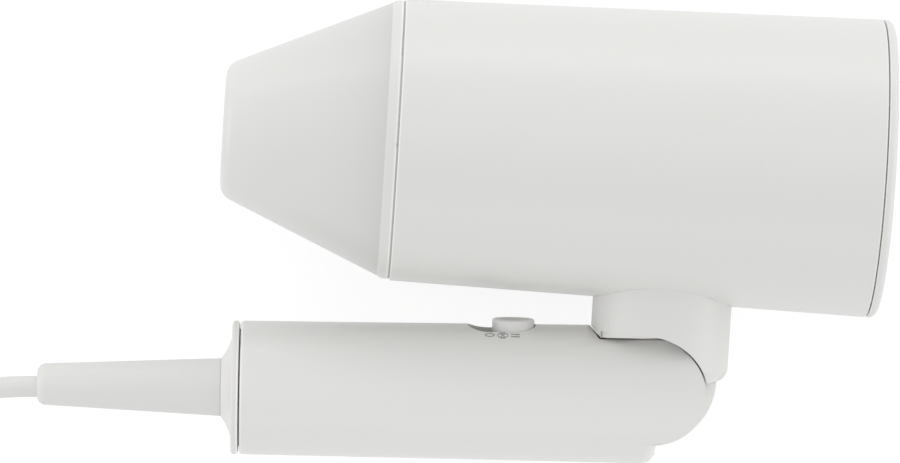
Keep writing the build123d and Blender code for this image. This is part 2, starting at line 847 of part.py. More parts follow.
carrier_bottom = carrier_top - carrier_thickness
with BuildPart() as switch_carrier:
    with BuildSketch(under_handle(carrier_bottom)):
        with Locations((-switch_place, 0)):
            RectangleRounded(
                opening_length + switch_travel + 2 * carrier_overlap, carrier_width, carrier_corner
            )
    extrude(amount=carrier_thickness)
    with BuildSketch(under_handle(carrier_bottom)):
        with Locations((-switch_place, 0)):
            Rectangle(switch_peg, switch_peg)
    extrude(amount=-switch_peg_depth)
switch_carrier.part.label = "switch_carrier"

with BuildPart() as switch_body:
    with BuildSketch(under_handle(board_top)):
        with Locations((-switch_place - switch_travel / 2, 0)):
            Rectangle(switch_body_length, switch_body_width)
    extrude(amount=carrier_bottom - fit_gap - board_top)
    with BuildSketch(under_handle(carrier_bottom - fit_gap)):
        with Locations((-switch_place - switch_travel / 2, 0)):
            Rectangle(switch_peg + switch_travel + 4 * button_gap, switch_peg + 2 * button_gap)
    extrude(amount=-switch_peg_depth - button_gap, mode=Mode.SUBTRACT)
switch_body.part.label = "switch_body"

with BuildPart() as switch_board:
    with BuildSketch(under_handle(board_top)):
        with Locations((-board_end, 0)):
            Rectangle(board_length, board_width, align=(Align.MAX, Align.CENTER))
    extrude(amount=-board_thickness)
switch_board.part.label = "switch_board"

# Cable inside the handle, its clamp, and the wires to the board and through the hinge pin
root_end = cap_face - cap_depth + relief_root
clamp_place = handle_length - clamp_inset
cable_end = -clamp_place + clamp_width
cable_root = handle_side.from_local_coords((root_end, -pivot_offset, 0))
with BuildPart() as inner_cable:
    with BuildSketch(Plane(origin=cable_root, z_dir=handle_side.x_dir)):
        Circle(cord_radius)
    extrude(amount=cable_end - root_end)
inner_cable.part.label = "inner_cable"

with BuildPart() as cord_clamp:
    with BuildSketch(under_handle(cord_radius - pivot_offset)):
        with Locations((-clamp_place, 0)):
            Rectangle(clamp_width, 2 * clamp_half)
    extrude(amount=clamp_thickness)
    with BuildSketch(under_handle(cord_radius - pivot_offset)):
        for side in [1, -1]:
            with Locations((-clamp_place, side * (clamp_half + cord_radius) / 2)):
                Rectangle(clamp_width, clamp_half - cord_radius - fit_gap)
    extrude(amount=-2 * cord_radius)
cord_clamp.part.label = "cord_clamp"

with BuildPart() as mains_wires:
    for side in [1, -1]:
        with BuildLine(handle_side.offset(side * (lead_radius + fit_gap))):
            route = FilletPolyline(
                (cable_end, -pivot_offset),
                (cable_end + lead_straight, -pivot_offset),
                (-board_end - board_length - lead_rise, board_top + lead_radius),
                (-board_end - board_length + lead_landing, board_top + lead_radius),
                radius=lead_bend,
            )
        with BuildSketch(Plane(origin=route @ 0, z_dir=route % 0)):
            Circle(lead_radius)
        sweep(path=route)
mains_wires.part.label = "mains_wires"

bundle_turn = slot_half + cheek_plate + bundle_over
board_side = board_width / 2 - shelf_width - bundle_radius
with BuildPart() as hinge_wires:
    with BuildLine(handle_side):
        route = FilletPolyline(
            (-board_end - bundle_landing, board_top + bundle_radius, board_side),
            (-board_end - bundle_straight, board_top + bundle_radius, board_side),
            (-board_end + bundle_step, board_top + bundle_radius, bundle_turn),
            (0, 0, bundle_turn),
            (0, 0, -slot_half / 2),
            radius=bundle_bend,
        )
    with BuildSketch(Plane(origin=route @ 0, z_dir=route % 0)):
        Circle(bundle_radius)
    sweep(path=route)
hinge_wires.part.label = "hinge_wires"

# Outlet ring: the seat that the nozzle's spigot pushes into
outlet_bore = spigot_radius + fit_gap
with BuildPart() as outlet_ring:
    with BuildSketch(barrel_side):
        with BuildLine():
            Polyline(
                (0, outlet_bore + outlet_lead_in),
                (0, bore_radius(0) - fit_gap),
                (outlet_depth, bore_radius(outlet_depth) - fit_gap),
                (outlet_depth, spigot_radius - spigot_wall),
                (spigot_depth + seam_gap, spigot_radius - spigot_wall),
                (spigot_depth + seam_gap, outlet_bore),
                (outlet_lead_in, outlet_bore),
                close=True,
            )
        make_face()
    revolve(axis=barrel_axis)
outlet_ring.part.label = "outlet_ring"

# Outlet grille: rings and spokes with a hub for the ion emitter
grille_rim = heater_radius - heater_wall - grille_inset
grille_pitch = grille_rim / (grille_rings + 1)
with BuildPart() as outlet_grille:
    with BuildSketch(across_barrel(outlet_depth)):
        Circle(bore_radius(outlet_depth) - fit_gap)
        Circle(grille_rim, mode=Mode.SUBTRACT)
        for ring in range(grille_rings, 0, -1):
            Circle(ring * grille_pitch + grille_bar / 2)
            Circle(ring * grille_pitch - grille_bar / 2, mode=Mode.SUBTRACT)
        for turn in range(grille_spokes // 2):
            with Locations(Rotation(0, 0, 360 / grille_spokes * turn)):
                Rectangle(2 * grille_rim + grille_bar, grille_bar)
        Circle(hub_radius)
        Circle(emitter_radius, mode=Mode.SUBTRACT)
    extrude(amount=grille_thickness)
outlet_grille.part.label = "outlet_grille"

with BuildPart() as ion_emitter:
    with BuildSketch(across_barrel(outlet_depth)):
        Circle(emitter_radius - fit_gap / 2)
    extrude(amount=grille_thickness)
    with BuildSketch(across_barrel(outlet_depth + grille_thickness)):
        Circle(hub_radius)
    extrude(amount=emitter_flange)
    with BuildSketch(across_barrel(outlet_depth)):
        Circle(needle_radius)
    extrude(amount=-needle_length, taper=needle_taper)
ion_emitter.part.label = "ion_emitter"

# Heater: mica tube, crossed mica boards with notches, and the wire wound over them
with BuildPart() as heater_tube:
    with BuildSketch(across_barrel(heater_front)):
        Circle(heater_radius)
        Circle(heater_radius - heater_wall, mode=Mode.SUBTRACT)
    extrude(amount=heater_length)
heater_tube.part.label = "heater_tube"

arm_radius = heater_radius - heater_wall - board_gap
coil_pitch = (heater_length - 2 * coil_margin) / (coil_turns - 1)
turn_places = [heater_front + coil_margin + turn * coil_pitch for turn in range(coil_turns)]
notch_bottom = coil_radius - mica_thickness / 2
with BuildPart() as heater_frame:
    for arm in range(mica_arms):
        board_plane = barrel_side.rotated((180 / mica_arms * arm, 0, 0))
        with BuildSketch(board_plane):
            with Locations((heater_front + board_setback, 0)):
                Rectangle(heater_length - board_setback, 2 * arm_radius, align=(Align.MIN, Align.CENTER))
            for side in [1, -1]:
                with Locations(*[(place, side * notch_bottom) for place in turn_places]):
                    Rectangle(
                        coil_wire + fit_gap,
                        both_ways,
                        align=(Align.CENTER, Align.MIN if side > 0 else Align.MAX),
                        mode=Mode.SUBTRACT,
                    )
        extrude(amount=mica_thickness / 2, both=True)
heater_frame.part.label = "heater_frame"

# Heating wire: flat turns from arm to arm, linked beside alternate arms
corner_radius = coil_radius + coil_wire
with BuildPart() as heating_coil:
    for place in turn_places:
        with BuildSketch(across_barrel(place - coil_wire / 2)):
            RegularPolygon(corner_radius, 2 * mica_arms)
            RegularPolygon(coil_radius, 2 * mica_arms, mode=Mode.SUBTRACT)
        extrude(amount=coil_wire)
    for turn, place in enumerate(turn_places[:-1]):
        with BuildSketch(across_barrel(place)):
            with Locations(Rotation(0, 0, 90 / mica_arms + 180 / mica_arms * turn)):
                with Locations((corner_radius * cos(pi / (2 * mica_arms)) - coil_wire / 2, 0)):
                    Rectangle(coil_link, coil_wire)
        extrude(amount=coil_pitch)
heating_coil.part.label = "heating_coil"

thermostat_spot = (heater_rear - thermostat_inset, heater_radius * thermostat_out)
with BuildPart() as thermostat:
    with BuildSketch(barrel_side.offset(mica_thickness / 2)):
        with Locations(thermostat_spot):
            RectangleRounded(thermostat_length, thermostat_width, thermostat_corner)
    extrude(amount=thermostat_base)
    with BuildSketch(barrel_side.offset(mica_thickness / 2 + thermostat_base)):
        with Locations(thermostat_spot):
            Circle(thermostat_cup_radius)
    extrude(amount=thermostat_cup)
thermostat.part.label = "thermostat"

fuse_spot = (
    heater_front + heater_length * fuse_along,
    heater_radius * fuse_out,
    mica_thickness / 2 + fuse_radius,
)
with BuildPart() as thermal_fuse:
    with BuildSketch(Plane(origin=barrel_side.from_local_coords(fuse_spot), z_dir=(1, 0, 0))):
        Circle(fuse_radius)
    extrude(amount=fuse_length)
thermal_fuse.part.label = "thermal_fuse"

# Terminal block on the rear edge of the boards, over the neck's cable passage
block_top = motor_radius + seam_gap
block_reach = neck_place - pivot_offset + block_length - heater_rear
wires_above = pin_radius + seam_gap
with BuildPart() as terminal_block:
    with BuildSketch(barrel_side):
        with Locations((heater_rear, -block_top)):
            Rectangle(block_reach, block_height, align=(Align.MIN, Align.MAX))
    extrude(amount=block_width / 2, both=True)
terminal_block.part.label = "terminal_block"

with BuildPart() as neck_wires:
    with BuildSketch(across_neck(pivot_drop - wires_above)):
        with Locations((-pivot_offset, 0)):
            with GridLocations(1, 2 * lead_radius + fit_gap, 1, 3):
                Circle(lead_radius)
    extrude(amount=pivot_drop - wires_above - block_top - block_height)
neck_wires.part.label = "neck_wires"

# Ionizer on top of the heater tube
with BuildPart() as ionizer_module:
    with BuildSketch(across_barrel(heater_front + ionizer_inset)):
        with Locations((heater_radius + fit_gap, 0)):
            Rectangle(ionizer_height, ionizer_width, align=(Align.MIN, Align.CENTER))
    extrude(amount=ionizer_length)
ionizer_module.part.label = "ionizer_module"

# Motor in its vaned housing, carried on two rubber rings
with BuildPart() as motor_housing:
    with BuildSketch(barrel_side):
        with BuildLine():
            Polyline(
                (stator_front, bore_radius(stator_front) - gasket_thickness),
                (motor_rear, bore_radius(motor_rear) - gasket_thickness),
                (motor_rear, bore_radius(motor_rear) - gasket_thickness - stator_wall),
                (stator_front, bore_radius(stator_front) - gasket_thickness - stator_wall),
                close=True,
            )
        make_face()
    revolve(axis=barrel_axis)
    with BuildSketch(across_barrel(stator_front)):
        Circle(motor_radius + fit_gap / 2 + sleeve_wall)
        Circle(motor_radius + fit_gap / 2, mode=Mode.SUBTRACT)
    extrude(amount=stator_length)
    vane_root = motor_radius + sleeve_wall / 2
    vane_tip = bore_radius(stator_front) - gasket_thickness - stator_wall / 2
    vane_length = (stator_length - 2 * vane_inset) / cos(radians(vane_twist))
    for vane in range(stator_vanes):
        turned = barrel_side.rotated((360 / stator_vanes * vane, 0, 0))
        root = Plane(
            origin=turned.from_local_coords((stator_front + stator_length / 2, vane_root, 0)),
            x_dir=(1, 0, 0),
            z_dir=turned.y_dir,
        )
        with BuildSketch(root):
            Rectangle(vane_length, vane_thickness, rotation=vane_twist)
        extrude(amount=vane_tip - vane_root)
motor_housing.part.label = "motor_housing"

with BuildPart() as motor_gaskets:
    for place in [stator_front + gasket_inset, motor_rear - gasket_inset - gasket_width]:
        with BuildSketch(barrel_side):
            with BuildLine():
                Polyline(
                    (place, bore_radius(place) - gasket_thickness),
                    (place, bore_radius(place) - fit_gap),
                    (place + gasket_width, bore_radius(place + gasket_width) - fit_gap),
                    (place + gasket_width, bore_radius(place + gasket_width) - gasket_thickness),
                    close=True,
                )
            make_face()
        revolve(axis=barrel_axis)
motor_gaskets.part.label = "motor_gaskets"

shaft_depth = motor_length / 2
with BuildPart() as motor:
    with BuildSketch(across_barrel(motor_front)):
        Circle(motor_radius)
    extrude(amount=motor_length)
    fillet(motor.edges().filter_by(GeomType.CIRCLE).sort_by(Axis.X)[0], motor_corner)
    with BuildSketch(across_barrel(motor_front)):
        Circle(motor_bearing_radius)
    extrude(amount=-motor_bearing)
    with BuildSketch(across_barrel(motor_rear)):
        Circle(shaft_radius + running_gap)
    extrude(amount=-shaft_depth, mode=Mode.SUBTRACT)
motor.part.label = "motor"

with BuildPart() as motor_shaft:
    with BuildSketch(across_barrel(motor_rear - shaft_depth + shaft_end_gap)):
        Circle(shaft_radius)
    extrude(amount=shaft_depth - shaft_end_gap + fan_gap + fan_hub_depth - shaft_cover)
motor_shaft.part.label = "motor_shaft"

# Fan: a hub cup with twisted blades, lofted from root to tip
blade_mid = fan_front + fan_hub_depth / 2
fan_radius = bore_radius(fan_front - fan_lead) - fan_tip_gap
with BuildPart() as fan:
    with BuildSketch(across_barrel(fan_front)):
        Circle(fan_hub_radius)
    extrude(amount=fan_hub_depth)
    fillet(fan.edges().filter_by(GeomType.CIRCLE).sort_by(Axis.X)[-1], fan_hub_corner)
    with BuildSketch(across_barrel(fan_front)):
        Circle(fan_hub_radius - fan_hub_wall)
        Circle(fan_boss_radius, mode=Mode.SUBTRACT)
    extrude(amount=fan_hub_depth - fan_hub_face, mode=Mode.SUBTRACT)
    for blade in range(fan_blades):
        turned = barrel_side.rotated((360 / fan_blades * blade, 0, 0))
        for radius, pitch, chord in [
            (fan_hub_radius - fan_hub_wall / 2, blade_root_pitch, blade_root_chord),
            (fan_radius, blade_tip_pitch, blade_tip_chord),
        ]:
            section = Plane(
                origin=turned.from_local_coords((blade_mid, radius, 0)), x_dir=(1, 0, 0), z_dir=turned.y_dir
            )
            with BuildSketch(section):
                Rectangle(chord, blade_thickness, rotation=90 - pitch)
        loft()
    with BuildSketch(across_barrel(fan_front)):
        Circle(shaft_radius + fit_gap / 2)
    extrude(amount=fan_hub_depth - shaft_cover, mode=Mode.SUBTRACT)
fan.part.label = "fan"

# Intake guard: fixed rings and spokes that stay when the cover is off
guard_radius = rear_bore - fit_gap
with BuildPart() as intake_guard:
    with BuildSketch(across_barrel(guard_seat)):
        Circle(guard_radius)
        Circle(guard_radius - guard_rim, mode=Mode.SUBTRACT)
        for share in guard_rings:
            Circle(guard_radius * share + grille_bar / 2)
            Circle(guard_radius * share - grille_bar / 2, mode=Mode.SUBTRACT)
        for turn in range(guard_spokes // 2):
            with Locations(Rotation(0, 0, 360 / guard_spokes * turn)):
                Rectangle(2 * guard_radius - guard_rim, guard_bar)
        Circle(hub_radius)
    extrude(amount=guard_thickness)
intake_guard.part.label = "intake_guard"

# Intake cover: rounded rim, skirt inside the barrel, slotted face
cover_front = barrel_length + seam_gap
cover_rear = cover_front + cover_depth
skirt_end = guard_seat + guard_thickness + fit_gap
face_inside = cover_rear - cover_recess - cover_wall
with BuildPart() as intake_cover:
    with BuildSketch(barrel_side) as cover_profile:
        with BuildLine():
            Polyline(
                (cover_front, barrel_rear_radius),
                (cover_rear, barrel_rear_radius),
                (cover_rear, barrel_rear_radius - cover_margin),
                (cover_rear - cover_recess, barrel_rear_radius - cover_margin - cover_recess),
                (cover_rear - cover_recess, 0),
                (face_inside, 0),
                (face_inside, guard_radius - cover_wall),
                (skirt_end, guard_radius - cover_wall),
                (skirt_end, guard_radius),
                (cover_front, guard_radius),
                close=True,
            )
        make_face()
        fillet(cover_profile.vertices().group_by(Axis.X)[-1].sort_by(Axis.Y)[-1], cover_corner)
        fillet(cover_profile.vertices().group_by(Axis.Y)[-1].sort_by(Axis.X)[0], edge_rounding)
    revolve(axis=barrel_axis)
    with BuildSketch(across_barrel(cover_rear)):
        for row in reversed(range(slot_rows)):
            Circle(slot_first_radius + row * slot_pitch + slot_width / 2)
            Circle(slot_first_radius + row * slot_pitch - slot_width / 2, mode=Mode.SUBTRACT)
        for turn in range(slot_bridges // 2):
            with Locations(Rotation(0, 0, 360 / slot_bridges * turn)):
                Rectangle(2 * both_ways, slot_width, mode=Mode.SUBTRACT)
    extrude(amount=face_inside - cover_rear - seam_gap, mode=Mode.SUBTRACT)
intake_cover.part.label = "intake_cover"

with BuildPart() as intake_filter:
    with BuildSketch(across_barrel(face_inside)):
        Circle(guard_radius - cover_wall - fit_gap)
    extrude(amount=-filter_thickness)
intake_filter.part.label = "intake_filter"

# Mains cord: a lead down to the coil, the coil, and a tail to the plug.
# Points are measured from the end of the strain relief in X and Y, and from the floor in Z.
cord_exit = handle_side.from_local_coords((relief_end, -pivot_offset - cord_drop, 0))
lead_route = [
    (0, 0, mid_z),
    (-4.5, -0.19, mid_z),
    (-12.7, -1.3, 38.0),
    (-26.5, -3.0, 34.6),
    (-42.0, -4.6, 26.8),
    (-57.0, -5.4, 18.4),
    (-70.5, -5.6, 14.1),
    (-80.7, -5.4, 13.75),
]
tail_route = [
    (-117.3, 42.0, 2.75),
    (-117.3, 53.0, 3.4),
    (-112.5, 67.2, 6.2),
    (-103.3, 79.1, 10.2),
    (-90.9, 87.4, 13.0),
    (-79.3, 90.5, 13.0),
]


def from_exit(route):
    """Points of a route in the part's frame"""
    return [Vector(cord_exit.X + x, cord_exit.Y + y, z) for x, y, z in route]


def bends(points):
    """Radius of each bend, as large as its two runs allow"""
    runs = [end - start for start, end in zip(points, points[1:])]
    radii = [
        0.45 * min(before.length, after.length) / tan(radians(before.get_angle(after)) / 2)
        for before, after in zip(runs, runs[1:])
    ]
    print("cord bend radii", [round(radius) for radius in radii])
    return radii


lead_points = from_exit(lead_route)
with BuildPart() as cord_lead:
    with BuildLine():
        route = FilletPolyline(*lead_points, radius=bends(lead_points))
    with BuildSketch(Plane(origin=route @ 0, z_dir=route % 0)):
        Circle(cord_radius)
    sweep(path=route)
cord_lead.part.label = "cord_lead"
lead_length = route.length

tail_points = from_exit(tail_route)
with BuildPart() as cord_tail:
    with BuildLine():
        route = FilletPolyline(*tail_points, radius=bends(tail_points))
    with BuildSketch(Plane(origin=route @ 0, z_dir=route % 0)):
        Circle(cord_radius)
    sweep(path=route)
cord_tail.part.label = "cord_tail"
tail_length = route.length

coil_centre = Vector(cord_exit.X + coil_place[0], cord_exit.Y + coil_place[1], 0)
coil_section = Plane(origin=coil_centre, x_dir=(1, 0, 0), z_dir=(0, -1, 0))
with BuildPart() as cord_coil:
    with BuildSketch(coil_section):
        with Locations(((coil_inner + coil_outer) / 2, coil_height / 2)):
            RectangleRounded(coil_outer - coil_inner, coil_height, cord_radius)
    revolve(axis=Axis(coil_centre, (0, 0, 1)))
cord_coil.part.label = "cord_coil"

with BuildPart() as cord_tie:
    with BuildSketch(coil_section):
        with Locations(((coil_inner + coil_outer) / 2, coil_height / 2)):
            RectangleRounded(coil_outer - coil_inner + 2 * tie_thickness, coil_height, cord_radius)
            RectangleRounded(
                coil_outer - coil_inner, coil_height - 2 * tie_thickness, cord_radius, mode=Mode.SUBTRACT
            )
    extrude(amount=tie_width / 2, both=True)
cord_tie.part.label = "cord_tie"

# Mains plug with two round pins, lying flat: neck, waist and face along the end of the tail
plug_start = tail_points[-1]
plug_line = Axis(plug_start, (cos(radians(plug_heading)), sin(radians(plug_heading)), 0))


def across_plug(along):
    """Plane square to the plug, that far from where the tail meets it: local y is up"""
    origin = plug_start + plug_line.direction * along
    return Plane(origin=origin, x_dir=plug_line.direction.cross(Vector(0, 0, -1)), z_dir=plug_line.direction)


with BuildPart() as plug_body:
    with BuildSketch(across_plug(0)):
        Circle(plug_neck_radius)
    extrude(amount=plug_neck)
    with BuildSketch(across_plug(plug_neck)):
        RectangleRounded(plug_waist_width, plug_waist_height, plug_waist_corner)
    with BuildSketch(across_plug(plug_neck + plug_waist)):
        RectangleRounded(plug_width, plug_height, plug_corner)
    loft()
    with BuildSketch(across_plug(plug_neck + plug_waist)):
        RectangleRounded(plug_width, plug_height, plug_corner)
    extrude(amount=plug_face)
    fillet(plug_body.edges().group_by(plug_line)[-1], plug_edge)
plug_body.part.label = "plug_body"

plug_face_at = plug_neck + plug_waist + plug_face
with BuildPart() as plug_pins:
    with BuildSketch(across_plug(plug_face_at)):
        with GridLocations(plug_pin_spacing, 0, 2, 1):
            Circle(plug_pin_radius)
    extrude(amount=plug_pin_length)
    fillet(plug_pins.edges().group_by(plug_line)[-1], plug_pin_rounding)
plug_pins.part.label = "plug_pins"

for tube, length in [(cord_lead, lead_length), (cord_tail, tail_length)]:
    expected = pi * cord_radius**2 * length
    print(tube.part.label, "volume against section times length", tube.part.volume / expected)

os.makedirs("parts", exist_ok=True)
pieces = [
    nozzle, nozzle_spigot, barrel_housing, neck, hinge_tongue, neck_screws,
    handle_shell_left, handle_shell_right, handle_screws, end_cap, strain_relief, hinge_pin, pin_clip,
    switch_button, switch_carrier, switch_body, switch_board,
    inner_cable, cord_clamp, mains_wires, hinge_wires,
    outlet_ring, outlet_grille, ion_emitter,
    heater_tube, heater_frame, heating_coil, thermostat, thermal_fuse, terminal_block, neck_wires,
    ionizer_module, motor_housing, motor_gaskets, motor, motor_shaft, fan,
    intake_guard, intake_cover, intake_filter,
    cord_lead, cord_coil, cord_tail, cord_tie, plug_body, plug_pins,
]
for piece in pieces:
    export_step(piece.part, f"parts/{piece.part.label}.step")
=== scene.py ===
# Folding hair dryer, lying on its side: the looks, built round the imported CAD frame.
# Metres, in the frame's own axes: X along the barrel, Y from the handle to the barrel, Z up.
import json
import math

import bmesh
import bpy
import numpy as np
from mathutils import Matrix, Vector


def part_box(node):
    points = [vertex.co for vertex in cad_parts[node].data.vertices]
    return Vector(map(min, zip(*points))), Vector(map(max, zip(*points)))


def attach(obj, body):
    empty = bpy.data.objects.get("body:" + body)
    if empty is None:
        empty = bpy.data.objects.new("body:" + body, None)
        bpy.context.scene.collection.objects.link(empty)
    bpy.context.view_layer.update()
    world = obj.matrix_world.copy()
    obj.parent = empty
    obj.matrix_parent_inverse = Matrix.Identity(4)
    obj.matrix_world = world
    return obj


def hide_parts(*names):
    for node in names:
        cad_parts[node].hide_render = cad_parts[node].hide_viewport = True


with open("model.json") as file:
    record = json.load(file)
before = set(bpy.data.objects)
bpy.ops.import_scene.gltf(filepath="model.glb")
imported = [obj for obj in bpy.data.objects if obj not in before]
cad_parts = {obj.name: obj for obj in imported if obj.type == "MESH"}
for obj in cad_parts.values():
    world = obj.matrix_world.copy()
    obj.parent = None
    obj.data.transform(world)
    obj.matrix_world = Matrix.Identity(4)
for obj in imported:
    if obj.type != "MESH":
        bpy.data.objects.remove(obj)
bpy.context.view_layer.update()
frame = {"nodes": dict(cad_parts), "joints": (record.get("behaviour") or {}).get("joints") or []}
joints = {joint["name"]: joint for joint in frame["joints"]}
print("frame loaded:", len(frame["nodes"]), "nodes")

# the barrel lies on the floor and widens from the nozzle to the intake
barrelLow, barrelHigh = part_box("barrel_housing")
nozzleLow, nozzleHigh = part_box("nozzle")
barrelWidens = 0.0022                                         # from its front radius to its rear one
rearRadius = barrelHigh.z / 2
frontRadius = rearRadius - barrelWidens
barrelFront = Vector((barrelLow.x, barrelHigh.y - rearRadius, rearRadius))
barrelLength = barrelHigh.x - barrelLow.x

# the handle's directions and its tube, from the pivot of the fold
pivot = Vector(joints["fold"]["pos_m"])
splay = math.radians(90 - joints["fold"]["range_deg"][1])
handleAlong = Vector((math.cos(splay), math.sin(splay), 0))   # from the free end to the hinge
handleUp = Vector((-math.sin(splay), math.cos(splay), 0))     # from the handle to the barrel
upward = Vector((0, 0, 1))
tubeShape = dict(
    hinge=0.0179, tip=0.0173,                                 # radius at the pivot and at the free end
    length=0.1064,                                            # from the one to the other
    below=0.0015,                                             # from the pivot down to the middle line
)
tubeMiddle = pivot - handleUp * tubeShape["below"]            # a point on that line
samePlace = 0.0000001                                         # points this close are one


def meshPoints(mesh):
    points = np.empty(len(mesh.vertices) * 3, np.float32)
    mesh.vertices.foreach_get("co", points)
    return points.reshape(-1, 3)


def setPoints(mesh, points):
    mesh.vertices.foreach_set("co", points.ravel())
    mesh.update()


def spanAlong(node, origin, direction):
    # nearest and furthest distance of a node's points from origin, along direction
    reach = (meshPoints(frame["nodes"][node].data) - np.array(origin)) @ np.array(direction)
    return reach.min(), reach.max()


def ringFaces(rings, corners, closed):
    # quads between rings of points numbered ring by ring. Rings that don't close on the first one
    # have four corners, and a face at each end
    r, c = np.meshgrid(np.arange(rings if closed else rings - 1), np.arange(corners), indexing="ij")
    r, c = r.ravel(), c.ravel()
    here, there = r * corners, (r + 1) % rings * corners
    cNext = (c + 1) % corners
    sides = np.stack([here + c, there + c, there + cNext, here + cNext], axis=1)
    if closed:
        return sides
    end = np.arange(corners)
    return np.vstack([sides, end, end + (rings - 1) * corners])


def meshObject(name, points, faces):
    mesh = bpy.data.meshes.new(name)
    mesh.from_pydata(points.reshape(-1, 3).tolist(), [], faces.tolist())
    mesh.update()
    mesh.shade_flat()
    return linkObject(name, mesh)


def linkObject(name, data):
    made = bpy.data.objects.new(name, data)
    bpy.context.scene.collection.objects.link(made)
    return made


def pointOutwards(piece):
    work = bmesh.new()
    work.from_mesh(piece.data)
    bmesh.ops.remove_doubles(work, verts=work.verts, dist=samePlace)
    bmesh.ops.recalc_face_normals(work, faces=work.faces)
    work.to_mesh(piece.data)
    work.free()


def finishPiece(piece, body, material, replaces=()):
    piece.data.materials.clear()
    piece.data.materials.append(material)
    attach(piece, body)
    if replaces:
        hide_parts(*replaces)
    return piece


def cutAcross(mesh, places, direction):
    # new edges where planes square to the direction cross the mesh, so that it can be bent there
    work = bmesh.new()
    work.from_mesh(mesh)
    for place in places:
        everything = work.verts[:] + work.edges[:] + work.faces[:]
        bmesh.ops.bisect_plane(work, geom=everything, dist=samePlace, plane_co=place, plane_no=direction)
    work.to_mesh(mesh)
    work.free()


capCone = dict(
    start=-0.10865, end=-0.11135,               # from the pivot along the handle, wide end first
    hollow=0.00028,                             # how much deeper the cone gets at its middle
    inside=0.0077,                              # points within this radius belong to the inner wall
    cuts=9,
)


def reshapeCap(mesh):
    # the cap's cone is hollowed more: each point moves towards the handle's middle line by
    # hollow * sin(pi * share), share running from the cone's wide end to its narrow one
    span = capCone["end"] - capCone["start"]
    shares = np.linspace(0, 1, capCone["cuts"] + 2)[1:-1]
    cutAcross(mesh, [pivot + handleAlong * (capCone["start"] + span * k) for k in shares], handleAlong)
    points = meshPoints(mesh)
    away = points - np.array(tubeMiddle)
    place = away @ np.array(handleAlong)
    across = away - place[:, None] * np.array(handleAlong)
    radius = np.linalg.norm(across, axis=1)
    share = (place - capCone["start"]) / span
    outer = (share > 0) & (share < 1) & (radius > capCone["inside"])
    drop = capCone["hollow"] * np.sin(math.pi * np.clip(share, 0, 1)) * outer
    inward = across / np.maximum(radius, samePlace)[:, None]
    points -= (inward * drop[:, None]).astype(np.float32)
    setPoints(mesh, points)
    print("cap points moved:", int(outer.sum()))


# The neck's values are millimetres from the pivot: x along the barrel, y towards it and z up.
# The bevel at its foot runs from start to end
neckFoot = dict(start=(19.5, 6.2), end=(17.1, 3.1), bulge=0.5, deep=0.7, cuts=9)


def roundFoot(mesh):
    # the bevel at the neck's foot becomes a round: points down to deep under it move square to it by
    # bulge * 4t(1 - t), t running along the bevel
    (x0, y0), (x1, y1) = neckFoot["start"], neckFoot["end"]
    length = math.hypot(x1 - x0, y1 - y0)
    run = ((x1 - x0) / length, (y1 - y0) / length)
    outward = (-run[1], run[0])
    shares = np.linspace(0, 1, neckFoot["cuts"] + 2)
    places = [pivot + Vector((x0 + (x1 - x0) * t, y0 + (y1 - y0) * t, 0)) / 1000 for t in shares]
    cutAcross(mesh, places, Vector((run[0], run[1], 0)))
    points = meshPoints(mesh)
    x = (points[:, 0] - pivot.x) * 1000 - x0
    y = (points[:, 1] - pivot.y) * 1000 - y0
    t = (x * run[0] + y * run[1]) / length
    off = x * outward[0] + y * outward[1]
    near = (t > 0) & (t < 1) & (off > -neckFoot["deep"])
    push = neckFoot["bulge"] * 4 * t * (1 - t) * near / 1000
    points[:, 0] += push * outward[0]
    points[:, 1] += push * outward[1]
    setPoints(mesh, points)
    print("neck foot points moved:", int(near.sum()))


neckEdge = dict(
    axis=1.5,                                   # x of the sleeve's middle line, which runs along y
    arcCentre=(-2.7, -2.3), arcRadius=17.35,    # the old edge is level up to this arc's top, then follows it
    left=(-14.2, 15.05), slope=-0.02,           # the new edge starts here and runs down to the right
    clear=14.15,                                # and stays at least this far from the pivot
    firstX=-14.19, lastX=5.6,                   # the part of the edge that changes
    close=0.03,                                 # points this close to an edge or a wall lie on it
    overlap=0.13,                               # how far the sleeve's top goes on into the barrel
    nearBarrel=0.2,                             # points this close to the barrel's surface are at the top
)
neckLip = dict(
    inner=16.2, outer=17.1,                     # the lip's walls, as radii about the sleeve's middle line
    shown=17.6,                                 # its outer wall once it is brought out
    below=15.2,                                 # its wall lies under this y
    foot=13.2, rise=0.078,                      # y of its lower edge at the left, and how much it climbs
    footRadii=(15.9, 17.15), footLastX=-4.15, footClose=0.06,   # where the points of that edge are
    end=(-4.2, 14.29), tip=(0.8, 14.83),        # lower edge of the wedge that ends it
    top=15.0, overlap=0.2, steps=24,
)


